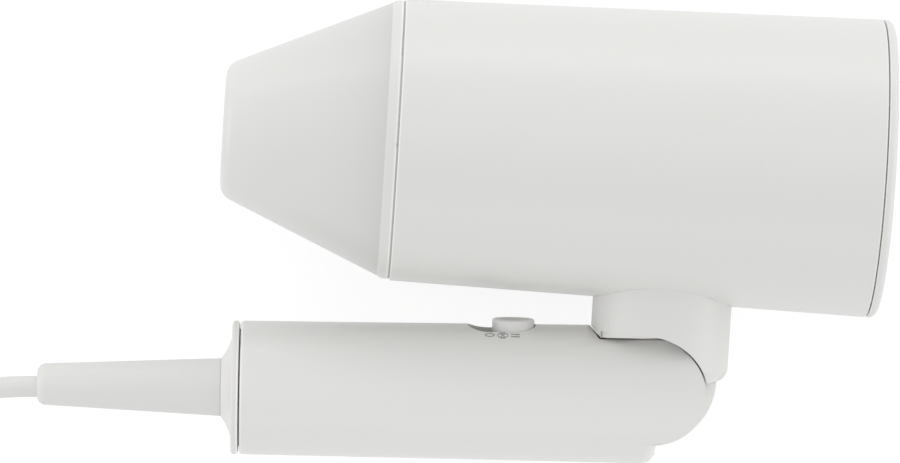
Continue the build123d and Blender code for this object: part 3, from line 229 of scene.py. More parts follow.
def reshapeNeck(mesh):
    # The sleeve's lower edge becomes a slanting one: edge(x) = the lower of the old edge and the
    # higher of a sloping line and the circle that clears the pivot. Points move along the sleeve's
    # own walls, so the walls stay round. The lip is brought out to just under the sleeve's outside,
    # its lower edge climbs as its wall comes forward, and the sleeve's top goes on a little into the
    # barrel, so that the joint is one fine line
    points = meshPoints(mesh)
    x = (points[:, 0] - pivot.x) * 1000
    y = (points[:, 1] - pivot.y) * 1000
    z = (points[:, 2] - pivot.z) * 1000
    left, top = neckEdge["left"]

    around = np.hypot(x - neckEdge["axis"], z)
    onLip = (np.abs(around - neckLip["outer"]) < neckEdge["close"]) & (y < neckLip["below"])
    wall = np.sqrt(np.clip(neckLip["outer"] ** 2 - (x - neckEdge["axis"]) ** 2, 0, None))
    wallAtLeft = math.sqrt(neckLip["outer"] ** 2 - (left - neckEdge["axis"]) ** 2)
    foot = neckLip["foot"] + math.tan(splay) * (x - left)
    onFoot = (np.abs(y - foot) < neckLip["footClose"]) & (x < neckLip["footLastX"])
    onFoot &= (around > neckLip["footRadii"][0]) & (around < neckLip["footRadii"][1])
    climb = onFoot * neckLip["rise"] * np.clip(wall - wallAtLeft, 0, None)
    points[:, 1] += (climb / 1000).astype(np.float32)
    shown = np.sqrt(np.clip(neckLip["shown"] ** 2 - (x - neckEdge["axis"]) ** 2, 0, None))
    points[:, 2] = np.where(onLip, pivot.z + np.sign(z) * shown / 1000, points[:, 2])

    away = np.hypot(points[:, 1] - barrelFront.y, points[:, 2] - barrelFront.z) * 1000
    share = (points[:, 0] - barrelFront.x) / barrelLength
    surface = (frontRadius + (rearRadius - frontRadius) * share) * 1000
    points[:, 1] += np.where(np.abs(away - surface) < neckEdge["nearBarrel"], neckEdge["overlap"] / 1000, 0)

    centre, radius = neckEdge["arcCentre"], neckEdge["arcRadius"]
    arc = centre[1] + np.sqrt(np.clip(radius**2 - (x - centre[0]) ** 2, 0, None))
    old = np.where(x < centre[0], centre[1] + radius, arc)
    line = top + neckEdge["slope"] * (x - left)
    circle = np.sqrt(np.clip(neckEdge["clear"] ** 2 - x**2, 0, None))
    new = np.minimum(old, np.maximum(line, circle))
    onEdge = (x > neckEdge["firstX"]) & (x < neckEdge["lastX"]) & (np.abs(y - old) < neckEdge["close"])
    points[:, 1] += np.where(onEdge, (new - old) / 1000, 0).astype(np.float32)

    setPoints(mesh, points)
    print("neck points moved on edge, lip, lip's foot:", [int(on.sum()) for on in (onEdge, onLip, onFoot)])
    roundFoot(mesh)


def makeLipEnd(side):
    # wedge at the lip's end: for x along the lip, a ring section between two radii about the sleeve's
    # middle, whose lower edge climbs in a line from the lip's end to the sleeve's edge
    (x0, y0), (x1, y1) = neckLip["end"], neckLip["tip"]
    x = np.linspace(x0 - neckLip["overlap"], x1, neckLip["steps"])
    low = y0 + (y1 - y0) * np.clip((x - x0) / (x1 - x0), 0, 1)
    high = np.full_like(x, neckLip["top"])
    corners = []
    for wall, height in (("shown", low), ("shown", high), ("inner", high), ("inner", low)):
        forward = side * np.sqrt(neckLip[wall] ** 2 - (x - neckEdge["axis"]) ** 2)
        corners.append(np.stack([x, height, forward], axis=1))
    grid = np.stack(corners, axis=1) / 1000 + np.array(pivot)
    name = "neckLipEnd" + ("Upper" if side > 0 else "Lower")
    piece = meshObject(name, grid, ringFaces(len(x), 4, False))
    pointOutwards(piece)
    return piece


copyShape = dict(
    merge=0.000002,                             # points closer than this become one
    flatDegrees=0.05,                           # faces that turn less than this become one
    sharpDegrees=28,                            # edges that turn more than this stay sharp, or get a bevel
    bevelSteps=3,
    largeFaces=80,                              # how much the larger faces lead the shading, 50 for evenly
)


def smoothCopy(node, name, softEdge, reshape=None):
    # a merged copy of a CAD node: flat neighbours are joined into one face, edges under the angle
    # are smooth, the others get a small bevel where softEdge says so, and normals follow the larger faces
    mesh = frame["nodes"][node].data.copy()
    mesh.name = name
    work = bmesh.new()
    work.from_mesh(mesh)
    bmesh.ops.remove_doubles(work, verts=work.verts, dist=copyShape["merge"])
    if reshape:
        work.to_mesh(mesh)
        reshape(mesh)
        work.clear()
        work.from_mesh(mesh)
    flat, sharp = math.radians(copyShape["flatDegrees"]), math.radians(copyShape["sharpDegrees"])
    bmesh.ops.dissolve_limit(work, angle_limit=flat, verts=work.verts, edges=work.edges, delimit={"NORMAL"})
    work.to_mesh(mesh)
    work.free()
    mesh.shade_smooth()
    mesh.set_sharp_from_angle(angle=sharp)
    piece = linkObject(name, mesh)
    if softEdge:
        bevel = piece.modifiers.new("softEdges", "BEVEL")
        bevel.width = softEdge
        bevel.segments = copyShape["bevelSteps"]
        bevel.limit_method = "ANGLE"
        bevel.angle_limit = sharp
        bevel.harden_normals = True
    even = piece.modifiers.new("evenNormals", "WEIGHTED_NORMAL")
    even.keep_sharp = True
    even.weight = copyShape["largeFaces"]
    return piece


def feedNode(tree, node, inputs):
    # each input, by name or number, takes another node's output or a plain value
    for key, term in inputs.items():
        if isinstance(term, bpy.types.NodeSocket):
            tree.links.new(term, node.inputs[key])
        else:
            node.inputs[key].default_value = term


def addNode(tree, kind, inputs=None, **settings):
    # a node with its settings, then its inputs
    node = tree.nodes.new(kind)
    for key, value in settings.items():
        setattr(node, key, value)
    feedNode(tree, node, inputs or {})
    return node


def addMath(tree, operation, *terms):
    return addNode(tree, "ShaderNodeMath", dict(enumerate(terms)), operation=operation).outputs[0]


def addMix(tree, share, first, second, blend="MIX"):
    inputs = {0: share, 6: first, 7: second}
    return addNode(tree, "ShaderNodeMix", inputs, data_type="RGBA", blend_type=blend).outputs[2]


def newGroup(name, inputs, outputs):
    # inputs are (name, kind, plain value), outputs are (name, kind). The group comes back with what
    # it is given and with the node that takes what it puts out
    group = bpy.data.node_groups.new(name, "ShaderNodeTree")
    for socket, kind, value in inputs:
        made = group.interface.new_socket(socket, in_out="INPUT", socket_type="NodeSocket" + kind)
        if value is not None:
            made.default_value = value
    for socket, kind in outputs:
        group.interface.new_socket(socket, in_out="OUTPUT", socket_type="NodeSocket" + kind)
    return group, group.nodes.new("NodeGroupInput").outputs, group.nodes.new("NodeGroupOutput")


grainNoise = dict(fineDetail=2.0, wideScale=90.0, wideDetail=3.0)


def mouldedGrainGroup():
    # fine spark-eroded grain of a moulded skin: two sizes of noise, as height and as roughness
    group, given, put = newGroup(
        "mouldedGrain",
        [("Vector", "Vector", None), ("Grain size", "Float", 0.0003), ("Roughness", "Float", 0.4),
         ("Roughness spread", "Float", 0.05)],
        [("Height", "Float"), ("Roughness", "Float")],
    )
    fine = addNode(group, "ShaderNodeTexNoise", {
        "Vector": given["Vector"], "Scale": addMath(group, "DIVIDE", 1.0, given["Grain size"]),
        "Detail": grainNoise["fineDetail"],
    })
    wide = addNode(group, "ShaderNodeTexNoise", {
        "Vector": given["Vector"], "Scale": grainNoise["wideScale"], "Detail": grainNoise["wideDetail"],
    })
    centred = addMath(group, "SUBTRACT", wide.outputs["Fac"], 0.5)
    rough = addMath(group, "MULTIPLY_ADD", centred, given["Roughness spread"], given["Roughness"])
    feedNode(group, put, {"Height": fine.outputs["Fac"], "Roughness": rough})
    return group


toneNoise = dict(slowScale=22.0, slowDetail=2.0, fleckScale=900.0)


def toneDriftGroup():
    # slow change of tone over a moulding, and a trace of dust as small darker flecks
    group, given, put = newGroup(
        "toneDrift",
        [("Vector", "Vector", None), ("Color", "Color", (0.8, 0.8, 0.8, 1)),
         ("Second color", "Color", (0.75, 0.75, 0.74, 1)), ("Drift", "Float", 0.3),
         ("Flecks", "Float", 0.02)],
        [("Color", "Color")],
    )
    slow = addNode(group, "ShaderNodeTexNoise", {
        "Vector": given["Vector"], "Scale": toneNoise["slowScale"], "Detail": toneNoise["slowDetail"],
    })
    drift = addMath(group, "MULTIPLY", slow.outputs["Fac"], given["Drift"])
    mixed = addMix(group, drift, given["Color"], given["Second color"])
    specks = addNode(group, "ShaderNodeTexNoise", {
        "Vector": given["Vector"], "Scale": toneNoise["fleckScale"],
    })
    dust = addMath(group, "MULTIPLY", specks.outputs["Fac"], given["Flecks"])
    dusty = addMix(group, dust, mixed, given["Second color"], "MULTIPLY")
    feedNode(group, put, {"Color": dusty})
    return group


def weaveGroup():
    # crossed threads: the height is the higher of two triangle waves, along Y and along Z, and the
    # thread is where that height is over a level
    group, given, put = newGroup(
        "weave",
        [("Vector", "Vector", None), ("Pitch", "Float", 0.0006), ("Level", "Float", 0.27)],
        [("Height", "Float"), ("Thread", "Float")],
    )
    parts = addNode(group, "ShaderNodeSeparateXYZ", {0: given["Vector"]})
    ridges = []
    for axis in ("Y", "Z"):
        turns = addMath(group, "DIVIDE", parts.outputs[axis], given["Pitch"])
        ridges.append(addMath(group, "PINGPONG", turns, 0.5))
    over = addMath(group, "MAXIMUM", *ridges)
    feedNode(group, put, {"Height": over, "Thread": addMath(group, "GREATER_THAN", over, given["Level"])})
    return group


def paintedSeamShadingGroup():
    # the mask is 1 on a plane (place along a direction) and falls smoothly to 0 at reach from it:
    # a painted highlight along the corner where two mouldings meet, or a painted shade line where one enters
    # another
    group, given, put = newGroup(
        "paintedSeamShading",
        [("Vector", "Vector", None), ("Direction", "Vector", None), ("Place", "Float", 0.0),
         ("Reach", "Float", 0.0005), ("Color", "Color", (0.8, 0.8, 0.8, 1)),
         ("Painted shading color", "Color", (0.9, 0.9, 0.9, 1))],
        [("Color", "Color")],
    )
    along = addNode(
        group, "ShaderNodeVectorMath", {0: given["Vector"], 1: given["Direction"]}, operation="DOT_PRODUCT"
    )
    off = addMath(group, "ABSOLUTE", addMath(group, "SUBTRACT", along.outputs["Value"], given["Place"]))
    mask = addNode(
        group, "ShaderNodeMapRange", {"Value": off, "From Max": given["Reach"], "To Min": 1.0, "To Max": 0.0},
        interpolation_type="SMOOTHSTEP",
    )
    mixed = addMix(group, mask.outputs["Result"], given["Color"], given["Painted shading color"])
    feedNode(group, put, {"Color": mixed})
    return group


groups = dict(grain=mouldedGrainGroup(), tone=toneDriftGroup(), weave=weaveGroup(), edge=paintedSeamShadingGroup())


def barrelPaintedLine(place, reach, share):
    # a painted line round the barrel at an X, highlight where the share is over 1 and shade where it is
    # under: how far it fades to each side, and how many times the colour
    return dict(direction=(1.0, 0.0, 0.0), place=place, reach=reach, share=share)


def handlePaintedLine(place, reach, share):
    # the same round the handle, at a place along it from the pivot
    return dict(direction=tuple(handleAlong), place=pivot.dot(handleAlong) + place, reach=reach, share=share)


# painted shade on the cone: its colour darkens from the tip towards the band, and the band is as pale as the
# barrel
coneShadeRun = dict(
    start=nozzleLow.x, end=nozzleHigh.x,
    shares=[(0.0, 1.0), (0.25, 0.965), (0.56, 0.94), (0.75, 0.91), (0.87, 0.87), (0.932, 0.83),
            (0.938, 0.995)],
)
# where painted highlight lines lie beside the barrel's seams
bandCorner = nozzleHigh.x - 0.00025                           # the corners beside the barrel's two seams
coverCorner = barrelHigh.x + 0.00035
# places of painted lines on the handle: highlight at the shell's and the cap's corners, shade on the cap's
# floor in the gap
handleSeam = dict(shell=-0.1063, gap=-0.10665, cap=-0.1070)   # from the pivot along the handle

# What a finish needs: color and second color, roughness and its spread, grain size and height in
# metres, how far the tone drifts to the second color, and flecks. A few have sheen, a run of painted
# shade along X, or painted lines of highlight and shade where they meet another moulding
shellSkin = dict(roughness=0.35, spread=0.06, grain=0.00028, height=0.000045, drift=0.35, flecks=0.03)
partSkin = dict(shellSkin, roughness=0.4, spread=0.05, drift=0.3)
finishValues = {
    "coneWhite": dict(
        shellSkin, color=(0.782, 0.779, 0.762), second=(0.758, 0.754, 0.735), run=coneShadeRun,
        # painted highlight along the band's corner at the seam
        edges=[barrelPaintedLine(bandCorner, 0.0006, 1.19)],
    ),
    "barrelWhite": dict(
        shellSkin, color=(0.785, 0.782, 0.765), second=(0.760, 0.757, 0.738),
        # painted highlight along the barrel's corners at both seams
        edges=[barrelPaintedLine(barrelLow.x, 0.00055, 1.19), barrelPaintedLine(barrelHigh.x, 0.00055, 1.15)],
    ),
    "handleWhite": dict(
        shellSkin, color=(0.815, 0.812, 0.796), second=(0.791, 0.787, 0.768),
        # painted highlight along the shell's corner at the cap's seam
        edges=[handlePaintedLine(handleSeam["shell"], 0.00055, 1.22)],
    ),
    "neckWhite": dict(shellSkin, color=(0.785, 0.782, 0.766), second=(0.761, 0.758, 0.740), roughness=0.42),
    # painted light: this white is paler than the neck's, lifting the shade that falls under the neck's foot
    "tonguePaintedLitWhite": dict(partSkin, color=(0.90, 0.897, 0.88), second=(0.875, 0.871, 0.853)),
    "coverWhite": dict(
        partSkin, color=(0.775, 0.772, 0.757), second=(0.75, 0.746, 0.73),
        # painted highlight along the cover's corner at the seam
        edges=[barrelPaintedLine(coverCorner, 0.00045, 1.15)],
    ),
    "capWhite": dict(
        partSkin, color=(0.800, 0.796, 0.780), second=(0.775, 0.771, 0.753), roughness=0.42,
        # painted highlight at the cap's seam and at its cone's end, and painted shade on the cap's floor
        # inside the gap
        edges=[handlePaintedLine(handleSeam["cap"], 0.0005, 1.22), handlePaintedLine(capCone["end"], 0.0004, 1.08),
               handlePaintedLine(handleSeam["gap"], 0.00026, 0.35)],
    ),
    "buttonWhite": dict(
        color=(0.820, 0.816, 0.801), second=(0.795, 0.791, 0.776), roughness=0.36, spread=0.05,
        grain=0.00022, height=0.00003, drift=0.25, flecks=0.03,
    ),
    "reliefRubber": dict(
        color=(0.785, 0.782, 0.767), second=(0.756, 0.753, 0.736), roughness=0.5, spread=0.08,
        grain=0.00035, height=0.00006, drift=0.4, flecks=0.05, sheen=0.15,
        # painted shade line at the relief's root, where it enters the cap
        edges=[handlePaintedLine(capCone["end"], 0.0004, 0.72)],
    ),
    "cordRubber": dict(
        color=(0.785, 0.782, 0.769), second=(0.751, 0.748, 0.734), roughness=0.48, spread=0.08,
        grain=0.0004, height=0.00007, drift=0.4, flecks=0.05, sheen=0.15,
    ),
    "plugWhite": dict(
        color=(0.77, 0.767, 0.752), second=(0.74, 0.737, 0.72), roughness=0.42, spread=0.08,
        grain=0.0003, height=0.00006, drift=0.35, flecks=0.04,
    ),
    "tieWhite": dict(
        color=(0.78, 0.777, 0.765), second=(0.74, 0.737, 0.725), roughness=0.38, spread=0.06,
        grain=0.00035, height=0.00004, drift=0.3, flecks=0.03,
    ),
    "darkPlastic": dict(
        color=(0.045, 0.045, 0.047), second=(0.03, 0.03, 0.032), roughness=0.5, spread=0.1,
        grain=0.0003, height=0.00008, drift=0.5, flecks=0.2,
    ),
    "innerPlastic": dict(
        color=(0.10, 0.10, 0.105), second=(0.075, 0.075, 0.08), roughness=0.55, spread=0.1,
        grain=0.0005, height=0.0001, drift=0.5, flecks=0.2,
    ),
    "blackRubber": dict(
        color=(0.02, 0.02, 0.02), second=(0.03, 0.03, 0.03), roughness=0.7, spread=0.1,
        grain=0.0004, height=0.0001, drift=0.5, flecks=0.2, sheen=0.2,
    ),
    "wireBlue": dict(
        color=(0.05, 0.14, 0.42), second=(0.04, 0.10, 0.33), roughness=0.4, spread=0.08,
        grain=0.0004, height=0.00006, drift=0.4, flecks=0.1,
    ),
    "boardGreen": dict(
        color=(0.03, 0.16, 0.06), second=(0.02, 0.12, 0.045), roughness=0.3, spread=0.1,
        grain=0.0006, height=0.00008, drift=0.5, flecks=0.2,
    ),
    "mica": dict(
        color=(0.52, 0.43, 0.28), second=(0.40, 0.32, 0.20), roughness=0.45, spread=0.2,
        grain=0.0012, height=0.0002, drift=0.9, flecks=0.5,
    ),
    # painted shade: the mid grey of the ring in the front seam's groove
    "seamShadeGrey": dict(
        color=(0.50, 0.497, 0.487), second=(0.46, 0.457, 0.447), roughness=0.5, spread=0.06,
        grain=0.0003, height=0.00004, drift=0.3, flecks=0.03,
    ),
    "carrierGrey": dict(
        color=(0.30, 0.298, 0.292), second=(0.26, 0.258, 0.252), roughness=0.5, spread=0.08,
        grain=0.0003, height=0.00006, drift=0.4, flecks=0.1,
    ),
    "markInk": dict(
        color=(0.30, 0.30, 0.295), second=(0.34, 0.34, 0.335), roughness=0.5, spread=0.1,
        grain=0.0003, height=0.00003, drift=0.5, flecks=0.2,
    ),
}
mouldedShine = dict(ior=1.46, bump=0.35)                      # shared by all of them


def newMaterial(name):
    # the material, its tree, its shader and the object's own coordinates
    made = bpy.data.materials.new(name)
    made.use_nodes = True
    tree = made.node_tree
    where = addNode(tree, "ShaderNodeTexCoord").outputs["Object"]
    return made, tree, tree.nodes["Principled BSDF"], where


def alongColor(tree, where, run, color):
    # the colour times a share that follows the place along X, from run["start"] to run["end"]
    axis = addNode(tree, "ShaderNodeSeparateXYZ", {0: where})
    place = addNode(tree, "ShaderNodeMapRange", {
        "Value": axis.outputs["X"], "From Min": run["start"], "From Max": run["end"],
    })
    ramp = addNode(tree, "ShaderNodeValToRGB", {"Fac": place.outputs["Result"]})
    stops = ramp.color_ramp.elements
    while len(stops) < len(run["shares"]):
        stops.new(0.5)
    for stop, (position, share) in zip(stops, run["shares"]):
        stop.position = position
        stop.color = (*[c * share for c in color], 1)
    return ramp.outputs["Color"]


def softFinish(name):
    # moulded plastic or rubber: drifting tone, painted shade along X, painted highlight and shade lines
    # beside the seams, grain as bump and roughness
    values = finishValues[name]
    made, tree, shader, where = newMaterial(name)
    first, second = (*values["color"], 1), (*values["second"], 1)
    # painted shade along X where a run is given, as on the cone
    if "run" in values:
        first, second = [alongColor(tree, where, values["run"], color[:3]) for color in (first, second)]
    tone = addNode(
        tree, "ShaderNodeGroup",
        {"Vector": where, "Color": first, "Second color": second, "Drift": values["drift"],
         "Flecks": values["flecks"]},
        node_tree=groups["tone"],
    )
    grain = addNode(
        tree, "ShaderNodeGroup",
        {"Vector": where, "Grain size": values["grain"], "Roughness": values["roughness"],
         "Roughness spread": values["spread"]},
        node_tree=groups["grain"],
    )
    bump = addNode(tree, "ShaderNodeBump", {
        "Height": grain.outputs["Height"], "Distance": values["height"], "Strength": mouldedShine["bump"],
    })
    surface = tone.outputs["Color"]
    # painted highlight where a line's share is over 1, painted shade where it is under
    for line in values.get("edges", ()):
        edge = addNode(
            tree, "ShaderNodeGroup",
            {"Vector": where, "Color": surface, "Direction": line["direction"], "Place": line["place"],
             "Reach": line["reach"], "Painted shading color": (*[c * line["share"] for c in values["color"]], 1)},
            node_tree=groups["edge"],
        )
        surface = edge.outputs["Color"]
    feedNode(tree, shader, {
        "Base Color": surface, "Roughness": grain.outputs["Roughness"], "Normal": bump.outputs["Normal"],
        "Sheen Weight": values.get("sheen", 0.0), "IOR": mouldedShine["ior"],
    })
    made.diffuse_color = (*values["color"], 1)
    return made


metalValues = {
    # brush is how fine the brushing is along X, Y and Z, and height is the bump's, in metres
    "zincSteel": dict(color=(0.56, 0.56, 0.57), roughness=0.36, brush=(30.0, 900.0, 900.0), height=0.00002),
    "nickelPins": dict(color=(0.66, 0.62, 0.53), roughness=0.24, brush=(40.0, 700.0, 700.0), height=0.00001),
    "heaterWire": dict(color=(0.38, 0.35, 0.32), roughness=0.42, brush=(600.0, 60.0, 60.0), height=0.00002),
}
brushedShine = dict(detail=4.0, smoother=0.08, rougher=0.12, secondShare=0.8, bump=0.4)


def metalFinish(name):
    # plated metal: noise stretched along the brushing, as roughness and a shallow bump
    values = metalValues[name]
    made, tree, shader, where = newMaterial(name)
    stretch = addNode(tree, "ShaderNodeMapping", {"Vector": where, "Scale": values["brush"]})
    lines = addNode(tree, "ShaderNodeTexNoise", {
        "Vector": stretch.outputs["Vector"], "Scale": 1.0, "Detail": brushedShine["detail"],
    })
    rough = addNode(tree, "ShaderNodeMapRange", {
        "Value": lines.outputs["Fac"], "To Min": values["roughness"] - brushedShine["smoother"],
        "To Max": values["roughness"] + brushedShine["rougher"],
    })
    first, second = (*values["color"], 1), (*[c * brushedShine["secondShare"] for c in values["color"]], 1)
    tone = addNode(
        tree, "ShaderNodeGroup", {"Vector": where, "Color": first, "Second color": second},
        node_tree=groups["tone"],
    )
    bump = addNode(tree, "ShaderNodeBump", {
        "Height": lines.outputs["Fac"], "Distance": values["height"], "Strength": brushedShine["bump"],
    })
    feedNode(tree, shader, {
        "Base Color": tone.outputs["Color"], "Roughness": rough.outputs["Result"],
        "Normal": bump.outputs["Normal"], "Metallic": 1.0,
    })
    made.diffuse_color = (*values["color"], 1)
    return made


filterMesh = dict(
    pitch=0.0007, level=0.27, height=0.0002, roughness=0.6,
    hole=(0.006, 0.006, 0.006), thread=(0.06, 0.06, 0.062),
)


def meshFinish(name, values):
    # fine woven filter mesh: paler threads over dark holes
    made, tree, shader, where = newMaterial(name)
    weave = addNode(
        tree, "ShaderNodeGroup", {"Vector": where, "Pitch": values["pitch"], "Level": values["level"]},
        node_tree=groups["weave"],
    )
    color = addMix(tree, weave.outputs["Thread"], (*values["hole"], 1), (*values["thread"], 1))
    bump = addNode(tree, "ShaderNodeBump", {"Height": weave.outputs["Height"], "Distance": values["height"]})
    feedNode(tree, shader, {
        "Base Color": color, "Normal": bump.outputs["Normal"], "Roughness": values["roughness"],
    })
    return made


finishes = {name: softFinish(name) for name in finishValues}
finishes.update({name: metalFinish(name) for name in metalValues})
finishes["filterMesh"] = meshFinish("filterMesh", filterMesh)
print("finishes made:", len(finishes))

# a long lens high above the dryer and a little towards its nozzle
cameraView = dict(
    place=(-0.058455, 0.117048, 1.6883), target=(-0.025555, -0.000252, 0.0383),
    right=(0.99821, 0.05983, 0.0),              # the way that the view's right side points
    lens=255.75, sensor=36.0, nearest=0.1, furthest=20.0,
)


def makeCamera():
    forward = (Vector(cameraView["target"]) - Vector(cameraView["place"])).normalized()
    right = Vector(cameraView["right"])
    right = (right - forward * right.dot(forward)).normalized()
    data = bpy.data.cameras.new("camera")
    data.lens = cameraView["lens"]
    data.sensor_width = cameraView["sensor"]
    data.sensor_fit = "HORIZONTAL"
    data.clip_start, data.clip_end = cameraView["nearest"], cameraView["furthest"]
    camera = linkObject("camera", data)
    turn = Matrix((right, right.cross(forward), -forward)).transposed().to_4x4()
    camera.matrix_world = Matrix.Translation(cameraView["place"]) @ turn
    bpy.context.scene.camera = camera


makeCamera()

# the mains cord's lead, coil and tail, as one smooth line
cordShape = dict(
    diameter=0.0055,
    length=1.8,
    drop=0.0007,             # the cord leaves this far under the relief's middle
    roundSteps=8, runSteps=6,   # how finely it is drawn, round and along
    # lead from the strain relief down to the coil, measured from the exit, heights from the floor
    lead=[(0, 0, 0.0386), (-0.0045, -0.00019, 0.0386), (-0.0127, -0.0013, 0.0380), (-0.0265, -0.0030, 0.0346),
          (-0.0420, -0.0046, 0.0268), (-0.0570, -0.0054, 0.0184), (-0.0705, -0.0056, 0.0141)],
    # tail from the coil to the plug
    tail=[(-0.1173, 0.0420, 0.00275), (-0.1173, 0.0530, 0.0034), (-0.1125, 0.0672, 0.0062),
          (-0.1033, 0.0791, 0.0102), (-0.0909, 0.0874, 0.0130), (-0.0793, 0.0905, 0.0130)],
    coilCentre=(-0.0807, 0.0312),
    # the coil's cross-section: where each turn lies, as radius and height
    cells=[(0.0366, 0.01375), (0.0310, 0.01375), (0.0254, 0.01375), (0.0254, 0.00825), (0.0254, 0.00275),
           (0.0310, 0.00275), (0.0310, 0.00825), (0.0366, 0.00825), (0.0366, 0.00275)],
    turns=8.25,
    perTurn=18,
    firstMove=255.0,         # degrees into the first turn at which the cord moves to its next place
    earlier=25.0,            # each later move starts this much earlier
    moveOver=100.0,          # degrees that a move takes
)


def coilPoints(start):
    # point(turn) = centre + radius * (cos a, sin a), at a = -90 - 360 * turn degrees, where radius and
    # height glide from one place of the section to the next over a part of each turn
    shape = cordShape
    turn = np.arange(1, shape["turns"] * shape["perTurn"]) / shape["perTurn"]
    cells = np.array(shape["cells"])
    steps = np.diff(cells, axis=0)
    count = np.arange(len(steps))
    moves = 360 * count + shape["firstMove"] - shape["earlier"] * count
    share = np.clip((360 * turn[:, None] - moves) / shape["moveOver"], 0, 1)
    section = cells[0] + (0.5 - 0.5 * np.cos(np.pi * share)) @ steps
    angle = np.radians(-90 - 360 * turn)
    wide = 1 / math.cos(math.pi / shape["perTurn"])     # the line runs inside its control points
    return np.stack([
        start.x + shape["coilCentre"][0] + wide * section[:, 0] * np.cos(angle),
        start.y + shape["coilCentre"][1] + wide * section[:, 0] * np.sin(angle),
        section[:, 1],
    ], axis=1)


def makeCord():
    # a round tube along one NURBS line, which has the lead's, the coil's and the tail's points as its
    # control points
    reliefTip = spanAlong("strain_relief", pivot, handleAlong)[0]
    reliefLow, reliefHigh = spanAlong("strain_relief", pivot, handleUp)
    start = pivot + handleAlong * reliefTip + handleUp * ((reliefLow + reliefHigh) / 2 - cordShape["drop"])
    lead, tail = [[(start.x + x, start.y + y, z) for x, y, z in cordShape[part]] for part in ("lead", "tail")]
    points = np.vstack([lead, coilPoints(start), tail])
    curve = bpy.data.curves.new("mainsCord", "CURVE")
    curve.dimensions = "3D"
    curve.bevel_depth = cordShape["diameter"] / 2
    curve.bevel_resolution = cordShape["roundSteps"]
    curve.resolution_u = cordShape["runSteps"]
    curve.use_fill_caps = True
    line = curve.splines.new("NURBS")
    line.points.add(len(points) - 1)
    line.points.foreach_set("co", np.hstack([points, np.ones((len(points), 1))]).ravel())
    line.order_u = 3
    line.use_endpoint_u = True
    cord = linkObject("mainsCord", curve)
    solids = ("cord_lead", "cord_coil", "cord_tail")
    finishPiece(cord, "handle", finishes["cordRubber"], solids)
    return cord, start


mainsCord, cordExit = makeCord()
print("cord laid from", [round(c, 4) for c in cordExit])

# housings taken over from the frame with soft edges and even shading
copiedNodes = {
    # node: (piece, body, finish, record slot, soft edge in metres)
    "nozzle": ("nozzleCone", "nozzle", "coneWhite", "white_shell", 0.0),
    "nozzle_spigot": ("nozzleSpigot", "nozzle", "darkPlastic", "dark_plastic", 0.0),
    "barrel_housing": ("barrelTube", "barrel", "barrelWhite", "white_shell", 0.0),
    "neck": ("neckSleeve", "barrel", "neckWhite", "neck_shell", 0.00012),
    "hinge_tongue": ("hingeTongue", "barrel", "tonguePaintedLitWhite", "neck_shell", 0.0005),
    "handle_shell_left": ("handleUpperShell", "handle", "handleWhite", "white_shell", 0.0),
    "handle_shell_right": ("handleLowerShell", "handle", "handleWhite", "white_shell", 0.0),
    "end_cap": ("handleEndCap", "handle", "capWhite", "white_cap", 0.0),
    "strain_relief": ("strainRelief", "handle", "reliefRubber", "relief_rubber", 0.0),
    "switch_button": ("switchButton", "slider", "buttonWhite", "button_plastic", 0.0),
    "switch_carrier": ("switchCarrier", "slider", "carrierGrey", "dark_plastic", 0.0002),
    "intake_cover": ("intakeCover", "intake", "coverWhite", "white_shell", 0.0),
    "intake_guard": ("intakeGuard", "barrel", "innerPlastic", "inner_plastic", 0.0002),
    "outlet_ring": ("outletRing", "barrel", "innerPlastic", "inner_plastic", 0.0),
    "outlet_grille": ("outletGrille", "barrel", "innerPlastic", "inner_plastic", 0.0002),
    "fan": ("fanWheel", "rotor", "innerPlastic", "inner_plastic", 0.0),
    "plug_body": ("plugBody", "handle", "plugWhite", "plug_plastic", 0.0),
    "plug_pins": ("plugPins", "handle", "nickelPins", "pin_brass", 0.0),
    "cord_tie": ("cordTie", "handle", "tieWhite", "tie_plastic", 0.0003),
}
reshapes = {"neck": reshapeNeck, "end_cap": reshapeCap}
for node, (name, body, finish, slot, softEdge) in copiedNodes.items():
    piece = smoothCopy(node, name, softEdge, reshapes.get(node))
    finishPiece(piece, body, finishes[finish], (node,))
for side in (1, -1):
    finishPiece(makeLipEnd(side), "barrel", finishes["neckWhite"])

# a thin ring behind the seam in front of the barrel, so that the seam is a shallow groove; its mid grey is
# painted shade for the groove
frontSeam = dict(depth=0.0005, thickness=0.0012, ease=0.00002, around=256)


def makeFrontSeam():
    # point(s, t) = barrelFront + X * u(s) + (Y * cos t + Z * sin t) * v(s), for the ring's section
    # (u, v) carried once round the barrel's middle line
    outer = frontRadius - frontSeam["depth"]
    inner = outer - frontSeam["thickness"]
    start = nozzleHigh.x - barrelFront.x
    end = -frontSeam["ease"]
    section = np.array([(start, outer), (end, outer), (end, inner), (start, inner)])[:, None]
    turn = np.linspace(0, 2 * np.pi, frontSeam["around"], endpoint=False)
    circle = np.stack([0 * turn, np.cos(turn), np.sin(turn)], axis=1)
    grid = np.array(barrelFront) + section[..., :1] * (1, 0, 0) + section[..., 1:] * circle
    ring = meshObject("seamRing", grid, ringFaces(len(section), len(turn), True))
    pointOutwards(ring)
    finishPiece(ring, "nozzle", finishes["seamShadeGrey"])


makeFrontSeam()

# printed marks beside the switch: a ring for off, a fan sign for cool and two bars for hot
marks = dict(
    along=(-0.0422, -0.0389, -0.0357),          # from the pivot, along the handle
    turned=(28.5, 28.9, 28.9),                  # degrees round the tube from its top to the upper side
    line=(0.00027, 0.00023, 0.00029),           # how wide each one's lines are
    lift=0.00003, depth=0.00008,                # over and under the tube's surface
    ring=(0.00112, 0.00068),                    # half its size along the handle and round it
    fanRing=0.00040, fanApart=0.00058, fanArc=0.00150, fanBow=0.12, fanOpen=0.22,
    bar=0.00115, barApart=0.00052,
    ringSteps=41, bowSteps=15,
)


def tubeRadius(far):
    # the handle's tube at a distance from the pivot, negative towards the free end
    return tubeShape["hinge"] + (tubeShape["tip"] - tubeShape["hinge"]) * (-far / tubeShape["length"])


